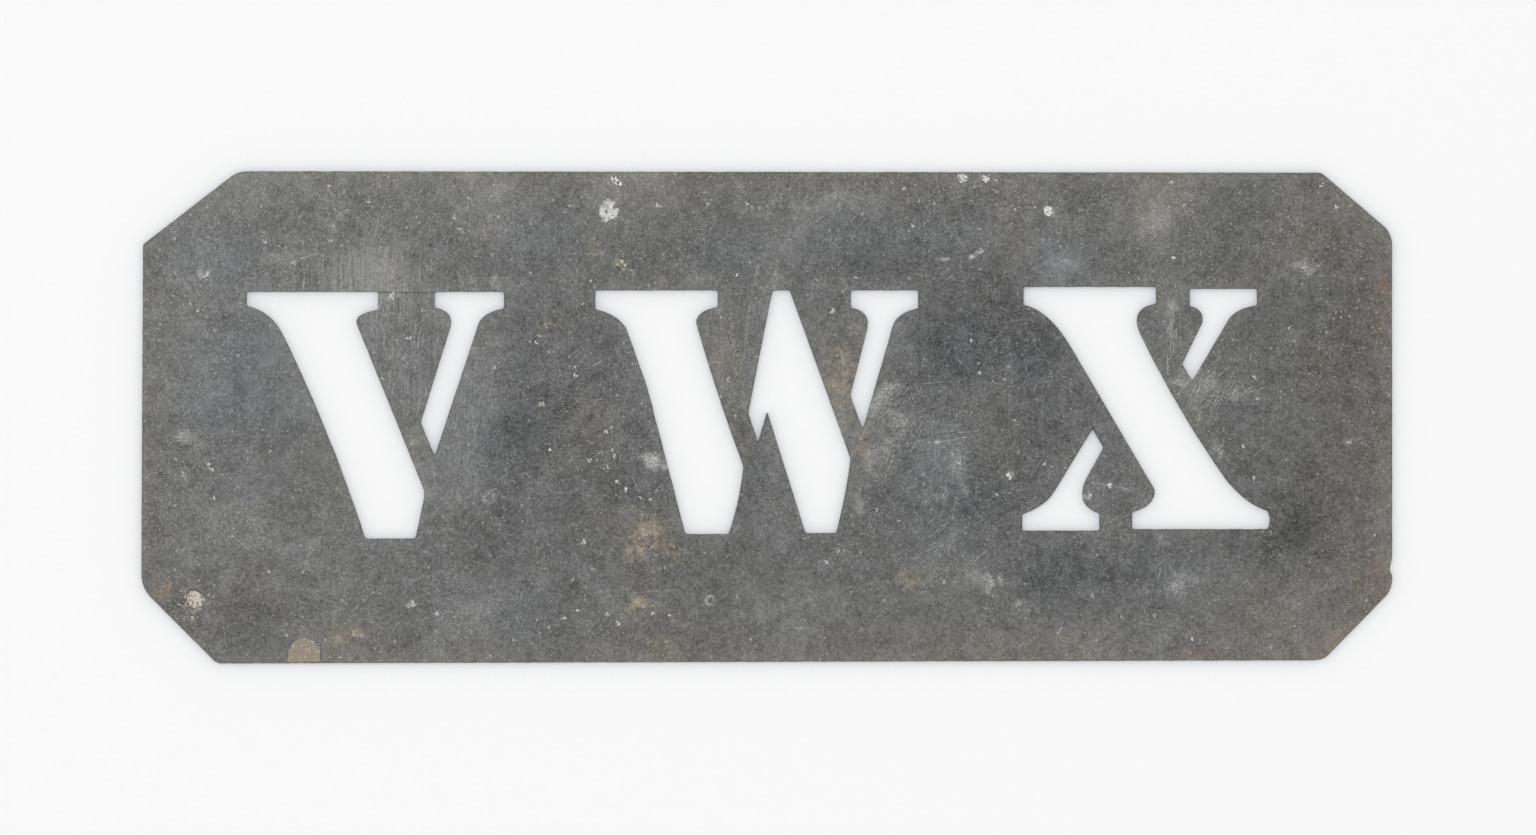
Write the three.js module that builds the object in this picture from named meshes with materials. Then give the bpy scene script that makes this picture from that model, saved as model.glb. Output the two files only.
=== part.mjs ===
// Letter stencil: one flat zinc sheet with cut corners, pierced by the openings of the letters V, W and X.
// Lumps of dried paint and plaster that stand proud of the face are separate solids seated on it.
// Units are millimetres. The sheet lies on the XY plane, +Z up, the origin at the centre of its underside.
import * as THREE from 'three';

// Sheet
const SHEET_THICKNESS = 0.8;
const MARGIN_LEFT = 21.4; // sheet's left edge to the V
const MARGIN_RIGHT = 24.8; // X to the sheet's right edge
const MARGIN_TOP = 24.2; // sheet's top edge to the W's cap line
const MARGIN_BOTTOM = 25.8; // nominal foot line to the sheet's bottom edge
const TOP_EDGE_FALL = 0.35; // hand shearing: the top edge drops this much towards the right
const BOTTOM_EDGE_RISE = 0.75; // and the bottom edge climbs this much
const LEFT_EDGE_LEAN = 0.5; // and the left edge stands in this much at its top
const EDGE_NICK = { aboveCut: 4.1, upper: 2.1, lower: 1.2, depth: 0.6 }; // dent in the right edge

// Corner cuts: how much of the end edge and of the long edge each one takes, and how far its two ends
// are worn round.
const CUT_TOP_LEFT = { end: 14.9, long: 19.2, endWear: 0.5, longWear: 1.9 };
const CUT_TOP_RIGHT = { end: 12.2, long: 14.4, endWear: 2.5, longWear: 0.6 };
const CUT_BOTTOM_RIGHT = { end: 14.3, long: 14.0, endWear: 2.0, longWear: 1.6 };
const CUT_BOTTOM_LEFT = { end: 15.4, long: 15.4, endWear: 2.8, longWear: 0.9 };

// Lettering
const CAP_HEIGHT = 50; // nominal, cap line to foot line
const GAP_VW = 18.5;
const GAP_WX = 21.1;
const TOP_SERIF_SLOPE = 0.17; // fall of a top serif's underside per millimetre in from its tip
const FOOT_SERIF_SLOPE = 0.3; // the same for the foot serifs of the X
const CURVE_SEGMENTS = 10; // straight facets in each curved stretch of an outline

// A serif has a length along the cap line and the depth of its left and right tips.
// A bracket runs from a tip's lower corner to where the stroke's straight edge starts: "reach" is how far
// in from the tip it bends, "across" and "down" are where it ends, from the stroke's serif tip and from the
// cap line. "lean" is the run sideways of a thin stroke's edge per millimetre down, or per millimetre up from
// a foot. "sag" is how far the middle of a hand-cut edge stands off a straight line, and "tie" is the metal
// left between strokes.
const V = {
  capDrop: 0.3, // cap line below the nominal one
  heavySerif: { length: 26.8, left: 2.9, right: 3.6 },
  outerBracket: { reach: 4.6, across: 7.2, down: 8.3 },
  innerBracket: { reach: 5.0, across: 22.4, down: 6.5 },
  outerSag: 0.8,
  foot: { across: 24.1, width: 10.2, below: 0.1 }, // below: under the foot line
  knuckle: { across: 36.1, aboveFoot: 9.8, blunt: 1.6 }, // outer corner where the stroke turns in to the foot
  serifGap: 11.4,
  thinSerif: { length: 14.1, left: 3.2, right: 3.4 },
  thinInnerBracket: { reach: 4.5, across: 2.9, down: 8.1, lean: 0.313 },
  thinOuterBracket: { reach: 4.3, across: 8.9, down: 6.6, lean: 0.331 },
  tie: 4.5,
};

const W = {
  capDrop: 0,
  heavySerif: { length: 24.9, left: 3.9, right: 3.4 },
  outerBracket: { reach: 4.2, across: 6.3, down: 7.7 },
  innerBracket: { reach: 4.3, across: 20.5, down: 6.6 },
  outerKnee: { across: 10.5, down: 19.5 }, // the hand-cut outer edge turns a little steeper here
  innerSag: 0.3,
  foot: { across: 18.3, width: 8.8, above: 0.5 }, // above: over the foot line
  knuckle: { across: 30.1, aboveFoot: 13.8, sag: 0.4 },
  apexGap: 11.1,
  apexWidth: 3.5,
  middleLean: 0.198, // the thin upstroke's left edge: run to the left per millimetre down
  middleTip: 30.9, // depth of the thin upstroke's lower point
  notch: 24.6, // depth of the tongue between the thin upstroke and the second heavy stroke
  secondFoot: { across: 6.7, width: 6.2, above: 0.7 }, // across: from the apex's left corner
  secondLean: 0.315, // the second heavy stroke's left edge: run to the right per millimetre down
  secondKnuckle: { across: 15.9, aboveFoot: 15.1, sag: 0.25 },
  serifGap: 12.4,
  thinSerif: { length: 13.7, left: 3.5, right: 3.7 },
  thinInnerBracket: { reach: 4.6, across: 3.1, down: 8.8, lean: 0.254 },
  thinOuterBracket: { reach: 4.1, across: 8.6, down: 7.1, lean: 0.291 },
  tie: 4.3,
};

const X = {
  capDrop: -0.7,
  topInset: 0.3, // the top serif starts this far right of the foot serif
  heavySerif: { length: 26.9, left: 3.7, right: 3.4 },
  leftBracket: { reach: 4.9, across: 9.4, down: 11.9 },
  rightBracket: { reach: 5.6, across: 23.7, down: 9.5 },
  rightSag: 0.7,
  nose: { across: 26.9, aboveFoot: 8.0, reach: 5.0 }, // blunt end of the heavy stroke's left edge
  flare: { across: 41.3, aboveFoot: 10.2, reach: 4.5 }, // where the right edge turns out into the foot serif
  footSerif: { start: 22.3, length: 27.6, left: 3.4, right: 3.7, above: 0.8, bulge: 0.4 },
  serifGap: 6.8,
  thinSerif: { length: 13.7, left: 3.5, right: 3.3, drop: 0.4 },
  thinInnerBracket: { reach: 3.0, across: 2.6, down: 7.2, lean: 0.49 },
  thinOuterBracket: { reach: 4.4, across: 7.9, down: 6.7, lean: 0.588 },
  upperTie: 4.9,
  thinFoot: { length: 15.7, left: 3.4, right: 3.5, above: 0.5 },
  footInnerBracket: { reach: 4.9, across: 12.8, aboveFoot: 10.1, lean: 0.553 },
  footOuterBracket: { reach: 4.8, across: 6.8, aboveFoot: 8.4, lean: 0.609 },
  lowerTie: 4.6,
};

// Residue that stands proud of the face: distances in from the nearest sheet edges to its middle, its size
// and its height.
const RESIDUE_FACETS = 18;
const RESIDUE = [
  {
    name: 'plaster_crust_lower_left',
    fromLeft: 11.0, fromBottom: 13.0,
    size: [4.1, 3.9], height: 0.35, lobes: 5,
  },
  { name: 'paint_splash_top', fromLeft: 94.9, fromTop: 8.2, size: [4.4, 5.7], height: 0.2, lobes: 3 },
  { name: 'paint_dab_top', fromLeft: 96.5, fromTop: 2.1, size: [2.9, 2.4], height: 0.15, lobes: 4 },
  { name: 'paint_flake_top_edge', fromRight: 87.1, fromTop: 1.5, size: [2.6, 1.9], height: 0.15, lobes: 4 },
  { name: 'paint_chip_top_edge', fromRight: 82.6, fromTop: 1.6, size: [2.1, 1.7], height: 0.15, lobes: 3 },
  { name: 'paint_spot_upper_right', fromRight: 69.8, fromTop: 8.1, size: [2.1, 2.3], height: 0.2, lobes: 4 },
];
const LOBE_DEPTH = 0.12; // share of its radius by which a lump's outline goes in and out
const LUMP_SECTION = [[0, 0], [1, 0], [0.86, 0.6], [0.5, 0.93], [0, 1]]; // shares of radius and height

// Half-round scab at the bottom edge. Its sides bend in at "haunchRise" of its rise, at a share of its half
// width on the left and on the right, and its top bends down at "crown" of its half width.
const SCAB = { fromLeft: 33.1, fromBottom: 0.4, width: 6.5, rise: 4.8, height: 0.25 };
const SCAB_BEND = { haunchRise: 0.75, left: 1, right: 0.9, crown: 0.7 };

// Sizes that follow
const V_WIDTH = V.heavySerif.length + V.serifGap + V.thinSerif.length;
const W_WIDTH = W.heavySerif.length + W.apexGap + W.apexWidth + W.serifGap + W.thinSerif.length;
const X_WIDTH = X.footSerif.start + X.footSerif.length + X.footSerif.bulge;
const SHEET_LENGTH = MARGIN_LEFT + V_WIDTH + GAP_VW + W_WIDTH + GAP_WX + X_WIDTH + MARGIN_RIGHT;
const SHEET_WIDTH = MARGIN_TOP + CAP_HEIGHT + MARGIN_BOTTOM;
const LEFT = -SHEET_LENGTH / 2;
const RIGHT = SHEET_LENGTH / 2;
const TOP = SHEET_WIDTH / 2;
const BOTTOM = -SHEET_WIDTH / 2;
const CAP_LINE = TOP - MARGIN_TOP;

const point = (x, y) => new THREE.Vector2(x, y);

// A curved stretch of an outline: bends towards the control point and ends at "end".
const curve = (control, end) => ({ control, end });

// A gently curved edge from a to b whose middle stands off to the left of the way it runs by "sag".
function bowed(a, b, sag) {
  const along = b.clone().sub(a).normalize();
  const offset = point(-along.y, along.x).multiplyScalar(2 * sag);
  return curve(a.clone().add(b).multiplyScalar(0.5).add(offset), b);
}

// Where the line through a along direction u meets the line through b along direction v.
function meet(a, u, b, v) {
  const s = b.clone().sub(a).cross(v) / u.cross(v);
  return a.clone().addScaledVector(u, s);
}

// A closed outline of straight edges (points) and curved stretches.
function outline(start, ...steps) {
  const path = new THREE.Path();
  path.moveTo(start.x, start.y);
  for (const step of steps) {
    if (step.control) path.quadraticCurveTo(step.control.x, step.control.y, step.end.x, step.end.y);
    else path.lineTo(step.x, step.y);
  }
  path.closePath();
  return path;
}

// A letter's own coordinates: across from its left tip and down from its cap line.
const letterFrame = (left, capLine) => (across, down) => point(left + across, capLine - down);

// A thin stroke hanging from a top serif and cut off below along the tie line, which runs through "tieStart"
// along "tieRun".
function thinStroke(at, across, drop, serif, inner, outer, tieStart, tieRun) {
  const right = across + serif.length;
  const innerStart = at(across + inner.across, inner.down);
  const outerStart = at(across + outer.across, outer.down);
  const corner = meet(innerStart, point(-inner.lean, -1), tieStart, tieRun);
  const tip = meet(outerStart, point(-outer.lean, -1), tieStart, tieRun);
  const innerTip = drop + serif.left;
  const outerTip = drop + serif.right;
  return outline(
    at(across, drop),
    at(right, drop),
    at(right, outerTip),
    curve(at(right - outer.reach, outerTip + TOP_SERIF_SLOPE * outer.reach), outerStart),
    tip,
    corner,
    innerStart,
    curve(at(across + inner.reach, innerTip + TOP_SERIF_SLOPE * inner.reach), at(across, innerTip)),
  );
}

// The tie line: parallel to a heavy stroke's edge from a to b, "tie" away on its right-hand side as drawn.
function tieLine(a, b, tie) {
  const run = b.clone().sub(a).normalize();
  const start = a.clone().addScaledVector(point(-run.y, run.x), tie);
  return [start, run];
}

// V: a heavy stroke falling to the right, and a thin stroke cut off short of it.
function openingsOfV(left) {
  const at = letterFrame(left, CAP_LINE - V.capDrop);
  const foot = CAP_HEIGHT + V.foot.below;
  const serif = V.heavySerif;
  const outerStart = at(V.outerBracket.across, V.outerBracket.down);
  const innerStart = at(V.innerBracket.across, V.innerBracket.down);
  const footLeft = at(V.foot.across, foot);
  const knuckle = at(V.knuckle.across, foot - V.knuckle.aboveFoot);
  const heavy = outline(
    at(0, 0),
    at(serif.length, 0),
    at(serif.length, serif.right),
    curve(
      at(serif.length - V.innerBracket.reach, serif.right + TOP_SERIF_SLOPE * V.innerBracket.reach),
      innerStart,
    ),
    knuckle,
    at(V.knuckle.across, foot - V.knuckle.aboveFoot + V.knuckle.blunt),
    at(V.foot.across + V.foot.width, foot),
    footLeft,
    bowed(footLeft, outerStart, -V.outerSag),
    curve(
      at(V.outerBracket.reach, serif.left + TOP_SERIF_SLOPE * V.outerBracket.reach),
      at(0, serif.left),
    ),
  );
  const thin = thinStroke(
    at,
    serif.length + V.serifGap,
    0,
    V.thinSerif,
    V.thinInnerBracket,
    V.thinOuterBracket,
    ...tieLine(innerStart, knuckle, V.tie),
  );
  return [heavy, thin];
}

// W: a heavy stroke, a thin upstroke joined at the apex to a second heavy stroke, and a thin stroke.
function openingsOfW(left) {
  const at = letterFrame(left, CAP_LINE - W.capDrop);
  const foot = CAP_HEIGHT - W.foot.above;
  const serif = W.heavySerif;
  const outerStart = at(W.outerBracket.across, W.outerBracket.down);
  const innerStart = at(W.innerBracket.across, W.innerBracket.down);
  const knuckle = at(W.knuckle.across, foot - W.knuckle.aboveFoot);
  const footRight = at(W.foot.across + W.foot.width, foot);
  const heavy = outline(
    at(0, 0),
    at(serif.length, 0),
    at(serif.length, serif.right),
    curve(
      at(serif.length - W.innerBracket.reach, serif.right + TOP_SERIF_SLOPE * W.innerBracket.reach),
      innerStart,
    ),
    bowed(innerStart, knuckle, -W.innerSag),
    bowed(knuckle, footRight, W.knuckle.sag),
    at(W.foot.across, foot),
    at(W.outerKnee.across, W.outerKnee.down),
    outerStart,
    curve(
      at(W.outerBracket.reach, serif.left + TOP_SERIF_SLOPE * W.outerBracket.reach),
      at(0, serif.left),
    ),
  );

  const apex = serif.length + W.apexGap;
  const secondFoot = CAP_HEIGHT - W.secondFoot.above;
  const apexLeft = at(apex, 0);
  const apexRight = at(apex + W.apexWidth, 0);
  const secondKnuckle = at(apex + W.secondKnuckle.across, secondFoot - W.secondKnuckle.aboveFoot);
  const secondFootLeft = at(apex + W.secondFoot.across, secondFoot);
  const secondFootRight = at(apex + W.secondFoot.across + W.secondFoot.width, secondFoot);
  const [leftTie, leftRun] = tieLine(innerStart, knuckle, W.tie);
  const level = point(1, 0);
  const thinCorner = meet(apexLeft, point(-W.middleLean, -1), leftTie, leftRun);
  const thinTip = meet(at(0, W.middleTip), level, leftTie, leftRun);
  const notch = meet(at(0, W.notch), level, secondFootLeft, point(-W.secondLean, 1));
  const middle = outline(
    apexLeft,
    apexRight,
    secondKnuckle,
    bowed(secondKnuckle, secondFootRight, W.secondKnuckle.sag),
    secondFootLeft,
    notch,
    thinTip,
    thinCorner,
  );

  const thin = thinStroke(
    at,
    apex + W.apexWidth + W.serifGap,
    0,
    W.thinSerif,
    W.thinInnerBracket,
    W.thinOuterBracket,
    ...tieLine(apexRight, secondKnuckle, W.tie),
  );
  return [heavy, middle, thin];
}

// X: a heavy stroke with serifs at both ends, and a thin stroke in two lengths, one on each side of it.
function openingsOfX(left) {
  const at = letterFrame(left, CAP_LINE - X.capDrop);
  const top = X.topInset;
  const serif = X.heavySerif;
  const foot = CAP_HEIGHT - X.footSerif.above;
  const footStart = X.footSerif.start;
  const footEnd = footStart + X.footSerif.length;
  const leftStart = at(top + X.leftBracket.across, X.leftBracket.down);
  const rightStart = at(top + X.rightBracket.across, X.rightBracket.down);
  const nose = at(X.nose.across, foot - X.nose.aboveFoot);
  const flare = at(X.flare.across, foot - X.flare.aboveFoot);
  const footLeftTip = foot - X.footSerif.left;
  const footRightTip = foot - X.footSerif.right;
  const heavy = outline(
    at(top, 0),
    at(top + serif.length, 0),
    at(top + serif.length, serif.right),
    curve(
      at(top + serif.length - X.rightBracket.reach, serif.right + TOP_SERIF_SLOPE * X.rightBracket.reach),
      rightStart,
    ),
    bowed(rightStart, flare, -X.rightSag),
    curve(
      at(footEnd - X.flare.reach, footRightTip - FOOT_SERIF_SLOPE * X.flare.reach),
      at(footEnd, footRightTip),
    ),
    curve(at(footEnd + 2 * X.footSerif.bulge, foot - X.footSerif.right / 2), at(footEnd, foot)),
    at(footStart, foot),
    at(footStart, footLeftTip),
    curve(at(footStart + X.nose.reach, footLeftTip - FOOT_SERIF_SLOPE * X.nose.reach), nose),
    leftStart,
    curve(
      at(top + X.leftBracket.reach, serif.left + TOP_SERIF_SLOPE * X.leftBracket.reach),
      at(top, serif.left),
    ),
  );

  const upperThin = thinStroke(
    at,
    top + serif.length + X.serifGap,
    X.thinSerif.drop,
    X.thinSerif,
    X.thinInnerBracket,
    X.thinOuterBracket,
    ...tieLine(rightStart, flare, X.upperTie - X.rightSag),
  );

  const thinFoot = CAP_HEIGHT - X.thinFoot.above;
  const thinLeftTip = thinFoot - X.thinFoot.left;
  const thinRightTip = thinFoot - X.thinFoot.right;
  const innerStart = at(X.footInnerBracket.across, thinFoot - X.footInnerBracket.aboveFoot);
  const outerStart = at(X.footOuterBracket.across, thinFoot - X.footOuterBracket.aboveFoot);
  const [tieStart, tieRun] = tieLine(nose, leftStart, X.lowerTie);
  const lowerThin = outline(
    at(0, thinFoot),
    at(0, thinLeftTip),
    curve(
      at(X.footOuterBracket.reach, thinLeftTip - FOOT_SERIF_SLOPE * X.footOuterBracket.reach),
      outerStart,
    ),
    meet(outerStart, point(X.footOuterBracket.lean, 1), tieStart, tieRun),
    meet(innerStart, point(X.footInnerBracket.lean, 1), tieStart, tieRun),
    innerStart,
    curve(
      at(
        X.thinFoot.length - X.footInnerBracket.reach,
        thinRightTip - FOOT_SERIF_SLOPE * X.footInnerBracket.reach,
      ),
      at(X.thinFoot.length, thinRightTip),
    ),
    at(X.thinFoot.length, thinFoot),
  );
  return [heavy, upperThin, lowerThin];
}

// The sheet's outer edge, anticlockwise from the bottom left, with the corner cuts worn round at both ends.
function sheetOutline() {
  const bottomLeft = point(LEFT, BOTTOM);
  const bottomRight = point(RIGHT, BOTTOM + BOTTOM_EDGE_RISE);
  const topRight = point(RIGHT, TOP - TOP_EDGE_FALL);
  const topLeft = point(LEFT + LEFT_EDGE_LEAN, TOP);
  const toward = (from, to, distance) => {
    const along = to.clone().sub(from).normalize();
    return from.clone().addScaledVector(along, distance);
  };

  // A worn end: the edge stops "wear" short of the cut's corner and bends round it on to the cut.
  const worn = (before, corner, after, wear) => [
    toward(corner, before, wear),
    curve(corner, toward(corner, after, wear)),
  ];
  const cut = (before, corner, after, first, second, firstWear, secondWear) => {
    const start = toward(corner, before, first);
    const end = toward(corner, after, second);
    return [...worn(before, start, end, firstWear), ...worn(start, end, after, secondWear)];
  };

  const nickBase = bottomRight.y + CUT_BOTTOM_RIGHT.end + EDGE_NICK.aboveCut;
  const nick = [
    point(RIGHT, nickBase - EDGE_NICK.lower),
    point(RIGHT - EDGE_NICK.depth, nickBase),
    point(RIGHT, nickBase + EDGE_NICK.upper),
  ];
  const [start, ...steps] = [
    ...cut(topLeft, bottomLeft, bottomRight, CUT_BOTTOM_LEFT.end, CUT_BOTTOM_LEFT.long,
      CUT_BOTTOM_LEFT.endWear, CUT_BOTTOM_LEFT.longWear),
    ...cut(bottomLeft, bottomRight, topRight, CUT_BOTTOM_RIGHT.long, CUT_BOTTOM_RIGHT.end,
      CUT_BOTTOM_RIGHT.longWear, CUT_BOTTOM_RIGHT.endWear),
    ...nick,
    ...cut(bottomRight, topRight, topLeft, CUT_TOP_RIGHT.end, CUT_TOP_RIGHT.long,
      CUT_TOP_RIGHT.endWear, CUT_TOP_RIGHT.longWear),
    ...cut(topRight, topLeft, bottomLeft, CUT_TOP_LEFT.long, CUT_TOP_LEFT.end,
      CUT_TOP_LEFT.longWear, CUT_TOP_LEFT.endWear),
  ];
  return outline(start, ...steps);
}

function named(name, geometry, material) {
  const mesh = new THREE.Mesh(geometry, material);
  mesh.name = name;
  return mesh;
}

function stencilPlate(material) {
  const vLeft = LEFT + MARGIN_LEFT;
  const wLeft = vLeft + V_WIDTH + GAP_VW;
  const xLeft = wLeft + W_WIDTH + GAP_WX;
  const shape = new THREE.Shape();
  shape.curves = sheetOutline().curves;
  shape.holes = [...openingsOfV(vLeft), ...openingsOfW(wLeft), ...openingsOfX(xLeft)];
  const geometry = new THREE.ExtrudeGeometry(shape, {
    depth: SHEET_THICKNESS,
    bevelEnabled: false,
    curveSegments: CURVE_SEGMENTS,
  });
  return named('stencil_plate', geometry, material);
}

// A low dome with a lobed outline and a flat underside: a turned section whose radius swings in and out round
// the axis.
function residueLump(spec, material) {
  const section = LUMP_SECTION.map(([radius, height]) => point(radius, height));
  const geometry = new THREE.LatheGeometry(section, RESIDUE_FACETS);
  geometry.rotateX(Math.PI / 2);
  const position = geometry.getAttribute('position');
  for (let i = 0; i < position.count; i += 1) {
    const x = position.getX(i);
    const y = position.getY(i);
    const swing = 1 - LOBE_DEPTH + LOBE_DEPTH * Math.cos(spec.lobes * Math.atan2(y, x));
    position.setXYZ(
      i,
      (x * swing * spec.size[0]) / 2,
      (y * swing * spec.size[1]) / 2,
      position.getZ(i) * spec.height,
    );
  }
  const lump = named(spec.name, geometry, material);
  const x = spec.fromLeft === undefined ? RIGHT - spec.fromRight : LEFT + spec.fromLeft;
  const y = spec.fromTop === undefined ? BOTTOM + spec.fromBottom : TOP - spec.fromTop;
  lump.position.set(x, y, SHEET_THICKNESS);
  return lump;
}

// A half-round scab with its straight side along the sheet's bottom edge.
function edgeScab(material) {
  const half = SCAB.width / 2;
  const haunch = SCAB_BEND.haunchRise * SCAB.rise;
  const crown = SCAB_BEND.crown * half;
  const shape = new THREE.Shape();
  shape.moveTo(-half, 0);
  shape.lineTo(half, 0);
  shape.bezierCurveTo(SCAB_BEND.right * half, haunch, crown, SCAB.rise, 0, SCAB.rise);
  shape.bezierCurveTo(-crown, SCAB.rise, -SCAB_BEND.left * half, haunch, -half, 0);
  const geometry = new THREE.ExtrudeGeometry(shape, {
    depth: SCAB.height,
    bevelEnabled: false,
    curveSegments: CURVE_SEGMENTS,
  });
  const scab = named('paint_scab_bottom_edge', geometry, material);
  scab.position.set(LEFT + SCAB.fromLeft, BOTTOM + SCAB.fromBottom, SHEET_THICKNESS);
  return scab;
}

const finish = (name, color, roughness, metalness) =>
  new THREE.MeshStandardMaterial({ name, color, roughness, metalness });
const zinc = finish('zinc', 0x71716f, 0.6, 0.7);
const whitePaint = finish('white_paint', 0xc4c4c0, 0.85, 0);
const plaster = finish('plaster', 0xcac2b2, 0.9, 0);
const brownPaint = finish('brown_paint', 0x94897a, 0.8, 0);

const stencil = new THREE.Group();
stencil.name = 'letter_stencil';
stencil.add(stencilPlate(zinc));
for (const spec of RESIDUE) {
  const material = spec.name.startsWith('plaster') ? plaster : whitePaint;
  stencil.add(residueLump(spec, material));
}
stencil.add(edgeScab(brownPaint));

export default stencil;
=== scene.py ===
"""Letter stencil: a weathered zinc sheet pierced by letter openings, with dried paint and plaster on it.

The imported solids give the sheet's outline and each lump's size and place. Each piece is a surface worked out
with numpy in millimetres, and goes into its mesh in metres.
"""
import math

import bmesh
import bpy
import numpy as np
from mathutils.geometry import delaunay_2d_cdt
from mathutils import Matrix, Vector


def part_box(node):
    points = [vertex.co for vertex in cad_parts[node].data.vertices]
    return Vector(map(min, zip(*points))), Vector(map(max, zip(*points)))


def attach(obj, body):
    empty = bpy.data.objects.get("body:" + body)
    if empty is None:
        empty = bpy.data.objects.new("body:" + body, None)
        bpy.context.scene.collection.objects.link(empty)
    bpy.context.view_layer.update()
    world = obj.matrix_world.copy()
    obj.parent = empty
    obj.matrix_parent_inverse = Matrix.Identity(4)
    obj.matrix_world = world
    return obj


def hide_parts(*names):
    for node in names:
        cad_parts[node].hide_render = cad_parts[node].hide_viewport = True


bl_info = {
    "name": "Letter stencil",
    "version": (1, 0, 0),
    "blender": (4, 5, 0),
    "location": "3D View > Sidebar > Stencil",
    "description": "Dresses a packed letter stencil: weathered zinc, dried paint and plaster, plain stage",
    "category": "Add Mesh",
}

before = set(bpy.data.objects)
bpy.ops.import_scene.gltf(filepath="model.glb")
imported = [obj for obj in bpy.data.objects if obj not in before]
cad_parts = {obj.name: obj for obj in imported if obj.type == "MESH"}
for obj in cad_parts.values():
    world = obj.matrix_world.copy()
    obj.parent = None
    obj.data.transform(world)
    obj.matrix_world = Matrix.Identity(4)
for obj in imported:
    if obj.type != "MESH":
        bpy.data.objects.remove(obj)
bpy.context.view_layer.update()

MM = 0.001
BODY = "root"
SHEET = "stencil_plate"
FACE_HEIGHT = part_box(SHEET)[1].z / MM
BLOCK = 2000  # points worked on at a time, where an array grows with their number

# Small sizes that no setting holds, in millimetres
ROLLED_ROWS = (0.03, 0.07)  # rows of points on the rolled edge, by their distance from the cut
FLAT_ROWS = (0.25, 0.5)  # rows of points just beyond it
BACK_RADIUS = 0.06  # worn edge of the underside
UNDERSIDE = 0.1  # points lower than this belong to the underside
ON_EDGE = 1e-4  # points nearer to the cut than this lie on it
TOOL_MARKS = 0.02  # depth of the marks on the cut walls
TONE_STRAY = 0.9  # how far the rims of light, dark, warm and bluish areas stray
STAIN_STRAY = 0.3  # how far the rims of bloom, rubbing, specks and stains stray
FAR_FROM_EDGE = 6  # where the distance to the edge no longer counts
MARK_PULL = 0.4  # how much nearer a mark of full strength counts than a faint one
LUMP_SINK = 0.02  # how far a lump's foot reaches under the face
THINNEST = 0.004  # least height of a lump over the face
FLECK_MARGIN = 0.1  # metal left between a fleck and the cut

WALL_ROWS = 5
LUMP_RINGS = 30
LUMP_SIDES = 108
FLECK_SIDES = 9
FLECK_REACH = 0.82  # how far a fleck's rim may reach, as a share of its width
CRUMBS = 120
SHARP_ANGLE = math.radians(50)
LEVEL = 0.028  # change of a grey's brightness, as a share of it, that shows as one display level
WARM_LEVELS = 6  # display levels of red over blue that make a warmth of 1

# Stage, in metres
FLOOR_DROP = 0.00002
LAMP_PLACE = (-0.15, 0.2, 2.2)
CAMERA_SHIFT = (0.0003, -0.00002)

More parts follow.
